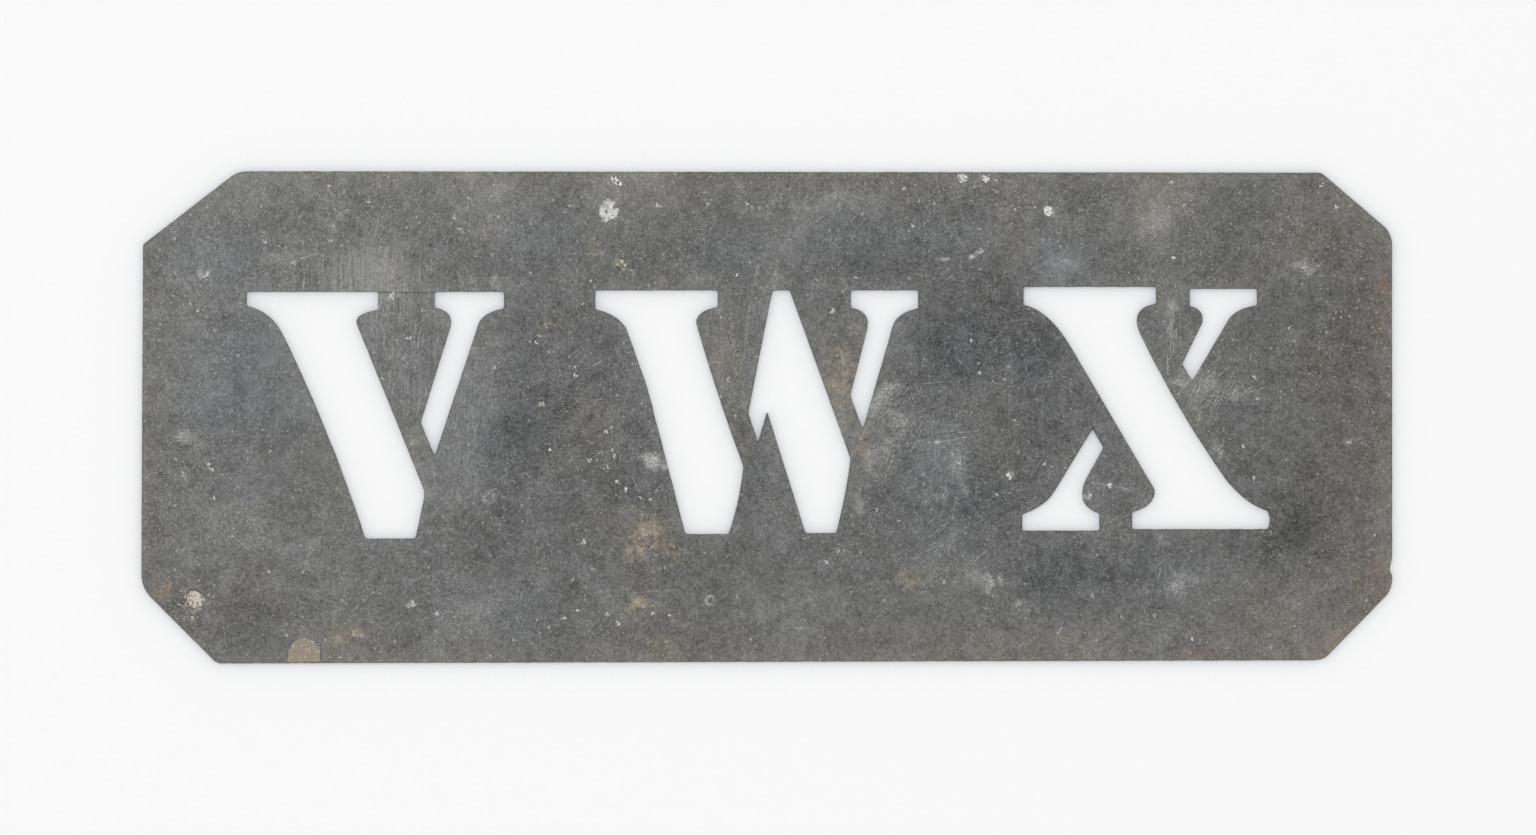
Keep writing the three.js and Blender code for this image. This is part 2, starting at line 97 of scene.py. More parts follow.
# Marks on the face, read off the photograph and corrected where renders differed from it, in millimetres from
# the middle of the sheet.
# A soft patch is: x, y, half length, half width, strength, and its turn in degrees where it is turned.
TONE_PATCHES = (  # strength: display levels lighter or darker
    (-130, 5, 70, 80, 5), (10, -2, 150, 30, -5), (0, 52, 150, 9, 2), (0, -50, 150, 8, 2),
    (-80.5, 30, 7.5, 5, 14), (-108, 46, 6, 5, 8, 35), (-117, 30, 5, 5.5, 8), (-117.5, 13.5, 4.5, 9.5, 7),
    (-58, 47, 8, 5, 11), (-25.5, 45, 7.5, 6, 8), (-92.5, 47, 14, 4.5, 5), (14.5, 44, 6, 5, 9),
    (4, 34, 3.5, 8, 7, -35), (-9, 13.5, 5, 10, 8), (14, 9, 4.5, 7.5, 12), (21.5, -4.5, 3.5, 7, 9),
    (78, 43, 7, 7.5, 11), (61, 31.5, 4, 5.5, 9), (82.5, 21.5, 2.5, 7, 6), (89, 6.5, 7, 5.5, 8, 30),
    (36.5, -7.5, 5, 8, 7, 10), (-63.5, -11, 4.5, 8.5, 7), (-73.5, 11.5, 5.5, 7, 5),
    (-102.5, -23, 12.5, 5, 6, -30), (-98.5, 4.5, 5.5, 8, 4), (-84.5, -38, 8, 5.5, 4),
    (-58.5, -38, 10.5, 5.5, 7, 30), (8, -38.5, 12, 5, 7), (1, -21, 3.5, 4.5, 6), (-24.5, -23.5, 5, 4.5, 4),
    (40.5, -32.5, 8, 3.5, 6), (84.5, -33.5, 5, 4, 6), (105.5, -37, 9.5, 5, 4), (115.5, -45.5, 9.5, 3.5, 5),
    (126, -17, 2, 8, 5), (59.5, -45.5, 9.5, 3, 4), (108.5, 31.5, 4.5, 3.5, 4), (-31.5, 36, 6, 8, 3),
    (-51, -5.5, 6, 7.5, -6), (-45, 3.5, 8, 8, -6), (-54, -21, 5.5, 10.5, -6, 15), (44.5, 23.5, 8, 7, -6),
    (37, 13, 8, 8, -9), (53.5, 16.5, 5.5, 9, -9, 30), (106, -22, 9.5, 7, -16), (62.5, -32, 10.5, 6, -11),
    (117.5, 16.5, 8, 9.5, -9), (98.5, 41, 5.5, 5.5, -8), (21, 32.5, 9, 4.5, -6),
    (-104.5, -41.5, 9, 5.5, -9, 30), (-42, -45.5, 12, 3.5, -4), (-15.5, -29, 8, 3.5, -5),
    (45.5, -18, 11.5, 5.5, -7), (47.5, -4.5, 7.5, 6, -4), (-42, 23.5, 7.5, 7.5, -4), (-66, 34, 12, 3, -3),
    (98.5, -11, 6, 12, -3), (-33.5, 17.5, 3, 8, -3), (33.5, 41, 10, 4, -3), (91, -17, 6, 4, -4),
    (14.5, 1, 2.5, 5, 16), (0, 25, 2, 3, 14), (-1.5, 16, 2, 4.5, 13), (-3.5, 5, 2, 4, 11),
    (-72, -7, 3, 5, 12, 20), (-64.5, 19, 3.5, 5, 9), (-60, 26, 3, 2.5, 7), (-60, 13, 3, 4, 7),
    (25, 14.5, 4, 4, 8), (-33, 44, 4, 4, 8), (25, 39, 5, 4, 7), (46, -4.5, 4, 4, 8), (6, 37, 5, 4, 6),
    (-42.5, 26, 4, 4, 7), (-16.5, 27, 5, 2, 6), (-103.5, 35.5, 5, 4, 6), (-88, -9, 5, 6, 4),
    (110, -48.5, 6, 2, 8), (-116.5, -34, 4.5, 5, -9), (18, 49, 6, 2.5, -9), (25.5, -6, 3.5, 4, -7),
    (99.5, 19, 4, 5, -8), (85.5, 30.5, 4, 3, -7), (-6, -25, 4, 2, 8), (-59, 3, 20, 3.5, 5, 80),
    (-5.5, -31, 4, 3, 8), (-72.5, 23.5, 4, 3, 7), (-119, -39.5, 4, 4, -8), (-69.5, -12.5, 2, 3.5, 8),
)
WARM_PATCHES = (  # strength: display levels of red over blue, below zero where the metal is bluish
    (0, 52, 150, 10, 2.5), (0, -50, 150, 10, 2.5), (127, -10, 14, 60, 2.5), (-128, -10, 8, 60, 2),
    (-10, 0, 100, 22, -1), (-112.5, 32.5, 9.5, 6, -2.8), (-107, 13, 8.5, 7.5, -2.8),
    (-108, 1.5, 10.5, 5, -3.5), (-57, -4.5, 5, 7, -2), (-7.5, 35, 7, 4, -2.8), (33.5, 37, 12.5, 5.5, -2.8),
    (15, 38.5, 8, 5.5, -2.8), (59.5, 31.5, 5.5, 5.5, -3.5), (39.5, 15, 9, 5.5, -2.8),
    (53.5, 10.5, 5.5, 5.5, -2.8), (37.5, -14.5, 10, 11.5, -2.8), (58.5, -33.5, 9.5, 5.5, -2.8),
    (80, -31.5, 10, 5.5, -2.8), (-49, -41.5, 6.5, 8, -2.8), (-45, 37.5, 8, 6, -2.1), (-66, -37, 8, 6, -1.4),
    (-24.5, -24, 4.5, 3.5, 6), (-86.5, -44.5, 5.5, 3, 5), (-104.5, -35.5, 6.5, 5, 4), (14, 8.5, 4.5, 7, 6),
    (-21, -45.5, 5, 4.5, 3), (-26, -35.5, 3.5, 4, 3), (-36, -4, 5.5, 5, 4), (80, 45, 6, 7.5, 5),
    (111, 37, 9.5, 7, 4), (125.5, 23.5, 1.5, 9, 6), (124, -33.5, 5.5, 5.5, 4), (116.5, -47, 12, 3, 5),
    (100.5, -39.5, 8.5, 7, 4), (113, 11.5, 5.5, 5.5, 3), (124.5, -8.5, 3, 7, 4), (35.5, -45.5, 12, 3, 3),
    (59.5, -45.5, 10, 3, 3), (29, -32.5, 4.5, 2.5, 3), (-12.5, 47, 7.5, 2, 3), (20.5, 47.5, 8, 2, 3),
    (-9, 11.5, 3.5, 9, 4), (20.5, -5, 2.5, 6.5, 5), (-88.5, -15, 5.5, 7, 2), (43.5, 1, 5.5, 5, 2),
    (116.5, -13, 12, 32.5, 2), (49.5, 41, 3, 7, 3), (-7, -3, 5, 5, 4), (-32.5, -21, 5, 5, 3),
    (-73, -4, 4, 6, 3), (-20.5, 26.5, 6, 3, 3), (-118, -38, 6, 5, 3), (46, -7, 5, 5, 3),
    (97.5, 27, 5, 4, 3), (85, 0.5, 4, 4, 3),
)
BLOOM_PATCHES = (  # strength: how thick the chalky dust lies, 1 being a full coat
    (-87.9, 38, 1.5, 4.5, 0.5, -8), (-86, 42.7, 1.6, 2, 0.5), (-98, 32.4, 6.5, 2, 0.5, 8),
    (-113.4, 28.8, 1.5, 0.9, 0.8, -35), (-118.5, -3.8, 2.6, 1.9, 0.6), (-116, -7, 3, 3, 0.35),
    (-22.9, -8.9, 2.1, 2, 1.1), (37.8, -8.7, 3.2, 4, 0.45, 20), (39.8, -12, 2, 2.5, 0.35),
    (18.9, -17.7, 1.8, 2, 0.6), (36, -16, 1.6, 2, 0.65), (40.6, -15.7, 1.2, 2, 0.4),
    (83.2, -33.5, 3.5, 3.2, 0.55, -30), (80, 41, 4, 5, 0.4), (78.5, 38, 4, 3, 0.25),
    (109.6, 30.2, 2.9, 1.7, 0.65, -25), (2.3, 28.5, 1, 2.4, 0.7), (14, 44.4, 4, 2, 0.45, 20),
    (6.9, 43, 4.5, 1.8, 0.45, 30), (60.3, 31, 3.5, 3, 0.5), (90.3, 7, 4.2, 2.8, 0.5, 35),
    (-55.2, 27.5, 3, 1.8, 0.55), (25, 6, 2.8, 2.4, 0.65), (22.3, 2.6, 2.4, 2.7, 0.6, 30),
    (27.4, -0.6, 3.2, 3.2, 0.6), (24.5, -6.5, 2.6, 3.6, 0.55, -35), (51.7, -37.7, 1.4, 1.3, 0.75),
    (-33.5, -36.8, 2.4, 3.4, 0.4), (-58.1, -39.2, 7, 4, 0.3, 20), (-71.9, -38.1, 1.2, 0.7, 0.95, 25),
    (89.3, -30.8, 2, 1.6, 0.45), (80.3, -24.6, 2.4, 2, 0.5), (-78.4, 29, 5, 4.5, 0.4),
    (45.7, -33.5, 2.4, 1.8, 0.75, 15), (41, -32.5, 3.5, 2.4, 0.5, 15), (57.4, 40.6, 1.8, 2.4, 0.45),
    (-108.2, 7.2, 1, 0.8, 0.6), (-75.7, 24.9, 1.6, 0.8, 0.95, 25), (-55.4, 45.3, 1, 2.2, 0.4),
    (-63.3, 29.6, 3.2, 1.4, 0.4, 15), (-120.6, 6.4, 3, 2.5, 0.4), (-102.8, 9.1, 3, 2.5, 0.35),
    (-92.4, -30.3, 4, 2, 0.4, -25), (-94.4, -21.9, 1.4, 1, 0.4, 30), (-74.4, -28.5, 3, 1.5, 0.35, 20),
    (-62.6, -17.5, 0.9, 4.5, 0.45, -15), (-80.5, -47.8, 2.2, 1, 0.55), (-82.2, -44.2, 2, 0.9, 0.7, -20),
    (-9.5, 47.2, 2, 1.2, 0.4), (28.6, 14.2, 2.2, 1.6, 0.4, 30), (20.6, -9, 1.4, 4, 0.5, -10),
    (-24.3, -24.2, 1.2, 1.8, 0.6, -20), (-26, -37.9, 1.3, 1.2, 0.4, 35), (-41, -45.2, 2, 1.6, 0.35),
    (8.7, -37.4, 3, 1.6, 0.35, -20), (2, -40, 8, 3.5, 0.25), (37, -24.5, 4.5, 2.4, 0.45, 38),
    (-43, -28.5, 2.5, 1.5, 0.35), (82.4, 19.6, 0.9, 4.8, 0.7, 4), (83.9, 7.1, 1.5, 1, 0.65, -30),
    (87.2, 2.3, 1.8, 3, 0.45, 20), (95.6, 4.7, 3.5, 1.6, 0.45, 20), (98, -0.8, 5, 1.2, 0.4, 30),
    (49.4, -11.8, 1, 1, 0.8), (69.3, -13.6, 3.4, 0.8, 0.55, -5), (73, -14.4, 1.6, 1, 0.4, -20),
    (65.1, -16.3, 0.9, 1, 0.75), (91.8, -7, 1.2, 2.5, 0.6, 30), (118.4, -5.4, 1.4, 1.6, 0.5),
)
BRUSHED_PATCHES = (  # strength: how deep the fine upright rubbing marks are
    (-80, 27, 14, 7, 1), (-73, 12, 6, 14, 1), (-62, -2, 8, 22, 0.6), (-92, 28, 10, 7, 0.7),
    (-96, 10, 6, 12, 0.4), (-60, 30, 10, 7, 0.5), (-9, 12, 4, 9, 0.4), (82.4, 19.6, 1.3, 6, 1),
)
SPECKLE_PATCHES = (  # strength: extra pale specks as a share of the usual number, fewer below zero
    (-85, 42, 22, 7, 0.9), (-30, 0, 12, 18, 1), (-25, -12, 7, 6, 0.8), (30, 44, 45, 5, 0.4),
    (45, 12, 12, 12, 0.5), (118, 30, 10, 18, 0.4), (-55, -38, 20, 8, 1), (-116, 15, 7, 18, 0.6),
    (38, -8, 10, 10, 0.4), (-117, -8, 6, 8, 0.6), (90, 3, 12, 6, 0.4), (62, 40, 10, 7, 0.5),
    (-92.5, -30, 6, 4, 0.9, -20), (-62, -40.5, 6, 2.5, 1, -10), (-32, -40, 9, 4, 0.6),
    (-90, 37, 36, 13, 1.1), (-117, 2, 10, 34, 1.2), (20, 41, 50, 8, 0.6), (100, 40, 25, 8, 0.7),
    (-6, 14, 6, 10, 1), (-85, -36, 25, 10, 0.5), (5, -38, 45, 10, -0.35), (105, -10, 18, 14, -0.45),
    (63, 12, 9, 12, -0.5), (63, -38, 16, 10, -0.35), (-97, 32.5, 7, 3, 2), (-87.5, 39, 3, 4.5, 1.6),
)
OCHRE_PATCHES = (  # strength: how far the stain hides the metal
    (-24.4, -24, 3, 2.8, 0.85, -20), (-26.2, -27.4, 2.6, 2.4, 0.6, 30), (-26, -38, 2.6, 1.6, 0.7, 35),
    (-21.2, -45.8, 1.6, 1.1, 0.9), (-18.2, -27.4, 2, 1.4, 0.65, -30), (-85.5, -44.1, 3, 1.3, 0.6, 10),
    (16, 9.5, 4.5, 7.5, 0.45, -15), (29.1, -33.2, 2.4, 1, 0.55), (-36.3, 1, 3.4, 3, 0.22),
    (-29.6, 31.4, 1.2, 1.3, 0.6), (20.5, -5, 1.5, 4.4, 0.5, -15), (-58.1, 37.5, 2, 1.5, 0.25),
    (-77.2, 30.8, 2.4, 4.6, 0.22), (78, 44.3, 5.5, 4.5, 0.16), (-24.4, -45.2, 1, 0.8, 0.6),
    (-8.9, 11, 2, 3.2, 0.35), (-44.2, 18.2, 2, 2.4, 0.3), (-34.6, 33, 1.2, 4, 0.25),
)
RUST_PATCHES = (  # strength: how far the rust hides the metal
    (-122.9, -34.7, 1.5, 1.8, 1), (-124.1, -29.8, 1.2, 3, 0.45), (125.3, 23, 0.9, 7.5, 0.95),
    (112.3, 10.6, 2, 0.7, 0.55), (124.2, -33.5, 3, 4, 0.2), (-105.2, -19.1, 1.6, 0.9, 0.75),
    (117, -45, 7, 2.4, 0.3, 20), (33.3, -32.1, 1.5, 0.5, 0.25), (49.5, 35.6, 1.6, 3, 0.3, -30),
    (-17.6, -42.7, 1.2, 1, 0.55), (31.3, -18.2, 1, 0.8, 0.5), (87.8, -47.6, 4, 1.4, 0.5),
)

# A mark is: x and y of its start, x and y of its end, width, strength. Below zero it is dark.
# Besides scratches and scribed lines, the list holds two dark lines that are painted shadow along the khaki
# scab's sides.
SCRATCHES_AND_SHADOW_LINES = (  # straight scratches and scribed lines
    (30.7, -4.8, 34.4, -5.2, 0.5, 0.5), (34.4, -5.2, 40.2, -4, 0.35, 0.7), (23.2, -7.9, 27, -2.9, 0.4, 0.5),
    (22.3, -10.8, 25.3, -7.1, 0.35, 0.5), (24, -9.2, 27.8, -4.3, 0.3, 0.6),
    (27.4, 0.4, 30.2, -4.2, 0.35, 0.5), (32.7, 0.4, 30.2, -3.3, 0.35, 0.5),
    (28.4, -2.7, 31.5, 0.2, 0.3, 0.5), (34, -27.4, 40.6, -22.2, 0.25, 0.7),
    (34.4, -26.6, 38.6, -23.6, 0.25, 0.4), (39.4, -31.5, 44.8, -27, 0.3, 0.5),
    (40.2, -30.3, 42.6, -28.2, 0.3, 0.4), (24.4, -33.9, 36.1, -26.6, 0.25, 0.3),
    (-29.3, -35.7, -18.5, -35.1, 0.25, 0.4), (-44.7, -29.5, -40.5, -29.3, 0.3, 0.35),
    (-27.2, -12.4, -25.8, -15.1, 0.3, 0.5), (34.8, 32.1, 37, 32.2, 1, 0.75),
    (41.4, 32.5, 43.6, 33.8, 1.3, 1), (46.4, 35.4, 49.7, 39.1, 0.3, 0.25),
    (82.6, 23.8, 81.9, 14.2, 0.7, 0.3), (81.8, 7.5, 85.3, 5.9, 0.6, 0.6),
    (-96.6, 31.4, -91.5, 33.3, 0.5, 0.7), (-108.2, -24.2, -105.2, -26.8, 0.3, 0.5),
    (66.4, -13.3, 70.2, -13.7, 0.7, 0.5), (70.2, -13.7, 73.3, -14.6, 0.5, 0.4),
    (79.4, -33.1, 80.2, -30.3, 0.5, 0.3), (80.2, -30.7, 82.4, -33.5, 0.5, 0.25),
    (81.2, -35.1, 83.6, -31.5, 0.5, 0.2), (82.4, -36.4, 85.3, -32.7, 0.5, 0.2),
    (80.6, -34.3, 82.6, -31.1, 0.5, 0.2), (-36.1, 9.9, -33.7, 11.3, 0.4, 0.6),
    (22.5, 1, 25.8, 3.8, 0.4, 0.4), (87.3, 5.1, 90.7, 8.5, 0.7, 0.35), (88.5, 3.8, 93.4, 7.5, 0.6, 0.3),
    (97.8, 5.1, 100.7, 5.9, 0.5, 0.4), (36.3, -10.8, 39.4, -7.7, 0.5, 0.35),
    (-118.6, -11, -117.9, -12.8, 0.4, 0.9), (-113.7, -9.2, -112.8, -10.9, 0.4, 0.9),
    (-108.2, -14.9, -107.2, -13.8, 0.3, 0.45), (-107.2, -13.8, -105.6, -14.3, 0.3, 0.45),
    (-76.9, 24, -75, 25.7, 0.6, 0.9), (-1.6, 31, -2.9, 25.5, 1, 0.35), (-3.4, 22.8, -4.7, 11.4, 0.8, 0.25),
    (5.8, -42.8, 8, -42.6, 0.5, 0.5), (46, 7.1, 48.3, 6.6, 0.4, 0.5), (59, -43.9, 60.1, -42.6, 0.4, 0.7),
    (31.5, -4, 38.6, -2.9, 0.4, -0.4), (-81.2, -24.8, -80.3, -27.6, 0.3, -0.5),
    (-78.7, 25.4, -67.4, 25.3, 0.5, -0.65), (66.2, -2, 66.4, -2.3, 0.6, -0.9),
    # Painted shadow: the next two dark lines run along the right and upper left sides of the khaki scab.
    (-90.5, -46, -90.3, -49.4, 0.4, -0.7), (-97.2, -47.8, -96.3, -45.2, 0.35, -0.6),
)
HAIRLINE_PATCHES = (  # x, y, half length, half width, heading in degrees, its spread, number, strength
    (25.8, 2.4, 4.5, 3.5, 55, 14, 30, 0.5), (23.1, -4.7, 2.5, 4.5, 55, 12, 20, 0.45),
    (33, -1.8, 6, 4, 30, 35, 26, 0.4), (36.5, -12, 5, 5, 60, 40, 20, 0.35),
    (33.3, -24, 7, 4, 38, 6, 12, 0.4), (-77.3, 32, 12, 4.5, 84, 4, 60, 0.4),
    (-74.3, 15, 4.5, 10, 81, 4, 40, 0.5), (91.1, 5.5, 6, 4, 50, 20, 60, 0.65),
    (83, -33, 3, 3.5, 55, 18, 14, 0.35), (-59, 3, 3.5, 14, 80, 4, 60, 0.3),
    (-97, 31, 8, 4, 60, 35, 20, 0.3), (-88, 41, 6, 5, 75, 30, 16, 0.25), (8, 43, 9, 3, 30, 25, 16, 0.3),
    (60.5, 32, 4, 5, 70, 30, 14, 0.3), (82.4, 18, 1.2, 6, 88, 4, 14, 0.6), (-5, 15, 3, 12, 80, 8, 14, 0.3),
    (109.6, 30.2, 3, 2, 30, 40, 14, 0.5), (43, -32, 4, 3, 40, 14, 10, 0.35),
    (0, 0, 85, 35, 40, 60, 130, 0.3),
)
RING_MARKS = (  # x, y, radius, width, strength
    (-56.4, -16.2, 0.9, 1.5, 0.4), (-11.5, -37.1, 0.8, 0.8, 0.8), (9.9, 27.4, 0.6, 0.5, 0.6),
    (-81.6, -36.6, 0.5, 0.45, 0.5),
)

# Dried flecks that stand proud: x, y, width, and how white they are.
WHITE_FLECKS = (
    (-113.5, 28.8, 1.4, 0.9), (-120.4, 24.7, 0.6, 0.6), (-116.9, 23.1, 0.8, 0.7), (-115.5, 21.7, 0.8, 0.8),
    (-112.7, 9.9, 0.6, 0.5), (-119.2, -4.5, 1, 0.6), (-118.6, -11.8, 0.8, 0.6), (-113.3, -9.6, 0.8, 0.9),
    (-112.5, -10.6, 0.8, 0.9), (-112.3, -16.3, 1, 0.7), (-101.7, 35.5, 0.6, 0.9), (-98.9, 34.7, 0.6, 0.9),
    (-96, 31.6, 1.2, 0.7), (-88.5, 35.9, 1, 0.7), (-87.9, 39, 0.8, 0.7), (-85.7, 45.7, 0.6, 0.7),
    (-85.1, 42, 0.8, 0.6), (-88.9, 46.9, 0.8, 0.8), (-80.8, 43.8, 0.8, 0.7), (-78.4, 34.5, 0.6, 0.8),
    (-73.1, 38.5, 0.6, 0.6), (-63.5, 40.6, 1, 0.7), (-55.8, 45, 0.6, 0.7), (-54.4, 40.8, 0.6, 0.6),
    (-76.1, 24.7, 1.4, 0.7), (-77.5, 24.3, 0.8, 0.5), (-73.7, 12.2, 0.8, 0.5), (-101.3, 7.5, 0.6, 0.5),
    (-47.9, 29.4, 1, 0.9), (-44.1, -6.7, 0.8, 0.9), (-46.7, 15, 1, 0.8), (-44.1, 13.2, 0.8, 0.6),
    (-38.6, 8.5, 1, 0.8), (-32.5, -2.7, 1, 0.8), (-36.1, -8.7, 1, 0.7), (-34.3, -8.7, 0.8, 0.6),
    (-32.3, -10.2, 0.8, 0.9), (-30.9, -7.9, 0.8, 0.8), (-30.2, -13, 1, 0.7), (-28.4, -14.6, 1.2, 0.7),
    (-25.6, -16.1, 1, 0.7), (-23.5, -16.7, 1, 0.8), (-22.5, -15, 0.8, 0.6), (-35.7, 27.8, 0.8, 0.9),
    (-38.2, 25.6, 0.8, 0.6), (-37.4, 22.9, 0.8, 0.7), (-22.1, 43, 1.2, 0.7), (-3.9, 43.4, 0.8, 0.9),
    (-12, 43.4, 1, 0.5), (-5.9, 29, 0.8, 0.8), (3, 30.8, 0.6, 0.8), (13.2, 21.5, 1.2, 0.7),
    (18.5, 28.4, 1.2, 0.5), (-7.9, 7.9, 0.6, 0.7), (-20.7, -30.5, 0.6, 0.9), (-36.9, -25.4, 1.2, 0.6),
    (-39.2, -32.9, 0.8, 0.6), (-23.1, -39.8, 0.8, 0.8), (-30, -41.8, 1, 0.9), (-32.3, -39.8, 1.2, 0.6),
    (-38.4, -39.2, 0.8, 0.9), (-40.8, -40.8, 1, 0.8), (-44.1, -42.4, 0.8, 0.6), (-19.7, -40.2, 0.6, 0.8),
    (-5.9, -36.4, 1, 0.5), (27.8, 46.3, 0.8, 0.8), (50.5, 42, 0.8, 0.7), (43.2, 38.3, 0.8, 0.6),
    (29.6, 38.8, 1, 0.5), (34.1, 43.2, 1, 0.5), (82.2, 47.7, 1.2, 0.6), (84.9, 43.2, 0.8, 0.6),
    (79.8, 39.4, 1, 0.6), (82.8, 32.5, 1, 0.9), (109.6, 30.4, 1.6, 0.6), (106.2, 18.2, 0.8, 0.7),
    (115.7, 42.6, 1, 0.9), (112.7, 47.1, 1, 0.9), (120.6, 35.3, 0.6, 0.8), (99.1, 8.3, 1, 0.8),
    (99.5, 3.8, 0.8, 0.7), (89.7, 9.3, 0.6, 0.6), (83.6, 7.7, 1, 0.6), (69.8, -13.6, 1.4, 0.8),
    (65.4, -16.3, 1.4, 0.7), (49.1, -11.8, 1.4, 0.9), (56.4, -9.4, 0.8, 0.8), (46.7, -15.7, 0.8, 0.9),
    (50.3, -0.6, 0.6, 0.9), (34.5, -4.9, 1.2, 0.6), (37.6, -7.3, 0.8, 0.8), (39.2, -9.2, 1, 0.8),
    (36.1, -33.5, 0.8, 0.7), (51.6, -37.8, 1.4, 0.4), (59.3, -43.7, 0.6, 0.8), (86.3, -44.9, 0.8, 0.8),
    (123.4, -23.8, 0.6, 0.9), (118.1, -4.9, 1.4, 0.6), (96.8, -5.9, 0.8, 0.8), (98.9, -12.4, 1, 0.7),
    (-65.2, -20.7, 0.6, 0.9), (-68.6, -30.5, 0.6, 0.9), (-71.9, -38, 1.4, 0.6), (-67, -39.8, 0.8, 0.7),
    (-63.5, -40.6, 0.8, 0.6), (-86.3, -37, 0.6, 0.9), (-100.9, -31.3, 1, 0.7), (-94, -31.3, 0.8, 0.6),
    (-97.4, -44.3, 0.8, 0.7), (117.5, -45.3, 0.6, 0.8), (12.2, -29.3, 1, 0.6), (22.5, -18.7, 0.8, 0.6),
    (14.6, -27, 1, 0.5), (26.8, -20.9, 1, 0.4), (66.2, -36.2, 0.8, 0.6), (46.7, 48.2, 0.9, 0.5),
    (-30.1, 46.2, 0.9, 0.45), (-30, 45.3, 0.8, 0.4), (-30.2, 44.5, 0.9, 0.4), (-30.6, 43.8, 0.8, 0.35),
    (92.3, 45.7, 0.9, 0.7), (121.9, 4.5, 0.8, 0.8), (17.2, -35.3, 0.8, 0.7), (78.7, -40.4, 0.9, 0.5),
)
TAN_FLECKS = (
    (-118.1, -41, 0.8, 0.5), (-116.5, -40.9, 0.8, 0.5), (-115.9, -39.3, 0.9, 0.5),
    (-118.2, -42.4, 0.6, 0.45), (-118.7, -38.3, 0.8, 0.5), (-117.7, -40.4, 0.6, 0.45),
    (-29.5, 31.5, 1.9, 1), (-28.9, 30.3, 0.9, 0.8), (-27.3, 29.8, 0.8, 0.7), (-27, 29, 0.7, 0.6),
    (-72.4, 16.1, 1.3, 1), (-62.2, 38.1, 1.2, 0.9), (-63.4, 41.2, 1.3, 0.6), (-113.4, -36, 1, 1),
    (-114.1, -37.4, 0.8, 0.9), (-115.3, -38.8, 0.8, 0.9), (-115.9, -39.4, 0.7, 0.8),
    (-116.6, -40.9, 0.8, 0.8), (-119.4, -37.8, 0.7, 0.8), (-112.6, -33.6, 0.6, 0.7), (-83.8, -43.9, 1, 0.9),
    (-24.4, -23.9, 1.2, 0.8), (-25.2, -22.6, 1, 0.7), (-20.6, -45.6, 0.9, 0.7), (-25.2, -38.1, 1, 0.7),
    (-18.9, -26.3, 0.9, 0.7), (-45.4, 2.6, 1.5, 0.8), (-46.4, 16.6, 1.2, 0.7), (-22.9, -38.2, 0.8, 0.8),
    (-118, -36.4, 0.8, 0.9), (-118.6, -35.2, 0.6, 0.8), (-117.6, -38.2, 0.7, 0.8),
    (-112.2, -36.4, 0.6, 0.8),
)


def srgb(red, green, blue):
    """Linear colour of a display colour given in levels from 0 to 255."""
    levels = np.array((red, green, blue)) / 255
    return tuple(np.where(levels <= 0.04045, levels / 12.92, ((levels + 0.055) / 1.055) ** 2.4).tolist())


def number_setting(name, description, default, **more):
    """A number, not below zero, that a user may change."""
    return bpy.props.FloatProperty(name=name, description=description, default=default, min=0, **more)


def length_setting(name, description, default):
    """A length in metres that a user may change."""
    return number_setting(name, description, default, precision=5, unit="LENGTH")


def share_setting(name, description, default):
    """A share from 0 to 1 that a user may change."""
    return number_setting(name, description, default, max=1, subtype="FACTOR")


def colour_setting(name, description, default):
    """A colour that a user may change."""
    return bpy.props.FloatVectorProperty(name=name, description=description, default=default, size=3,
                                         min=0, max=1, subtype="COLOR")


class StencilSheetSettings(bpy.types.PropertyGroup):
    """Sizes and colours of the zinc sheet."""

    outline_step: length_setting("Outline step", "Distance between points along the cut edges", 0.0004)
    face_step: length_setting("Face step", "Distance between points on the marked face", 0.0009)
    back_step: length_setting("Underside step", "Distance between points on the underside", 0.004)
    edge_radius: length_setting("Edge radius", "How far the face rolls over at a worn edge", 0.00012)
    edge_wobble: length_setting("Edge wobble", "How far a hand-cut edge strays to either side", 0.000012)
    swell: length_setting("Swell", "How far the thin sheet's face rises and dips", 0.00002)
    zinc: colour_setting("Zinc", "Colour of the dull metal", srgb(97, 96, 93))
    chalk: colour_setting("Chalk", "Colour of the pale bloom, specks and scratches", srgb(192, 191, 187))
    ochre: colour_setting("Ochre", "Colour of the yellow-brown stains", srgb(158, 143, 117))
    rust: colour_setting("Rust", "Colour of the rusty stains", srgb(122, 98, 77))
    # The soil colour is also painted shade: the dark rim along the cut edges, the shadow lines beside the scab
    # and the hollows of the plaster crust.
    soil_and_shade: colour_setting("Soil", "Colour of the dirt in scratches and along cut edges", srgb(62, 61, 58))
    roughness: share_setting("Roughness", "How dull the metal is", 0.55)


class StencilResidueSettings(bpy.types.PropertyGroup):
    """Colours and sizes of the dried paint and plaster."""

    white: colour_setting("White paint", "Colour of the dried white paint", srgb(222, 222, 221))
    plaster: colour_setting("Plaster", "Colour of the plaster crust", srgb(201, 194, 180))
    khaki: colour_setting("Khaki paint", "Colour of the scab at the bottom edge", srgb(143, 134, 118))
    # Tan also paints the highlight on the khaki scab's rim.
    tan: colour_setting("Tan crumbs", "Colour of the yellowish crumbs", srgb(194, 188, 172))
    fleck_height: length_setting("Fleck height", "How proud a fleck stands", 0.00004)
    fleck_count: bpy.props.IntProperty(name="Fleck tries", description="Random places tried for small flecks",
                                       default=1500, min=0)


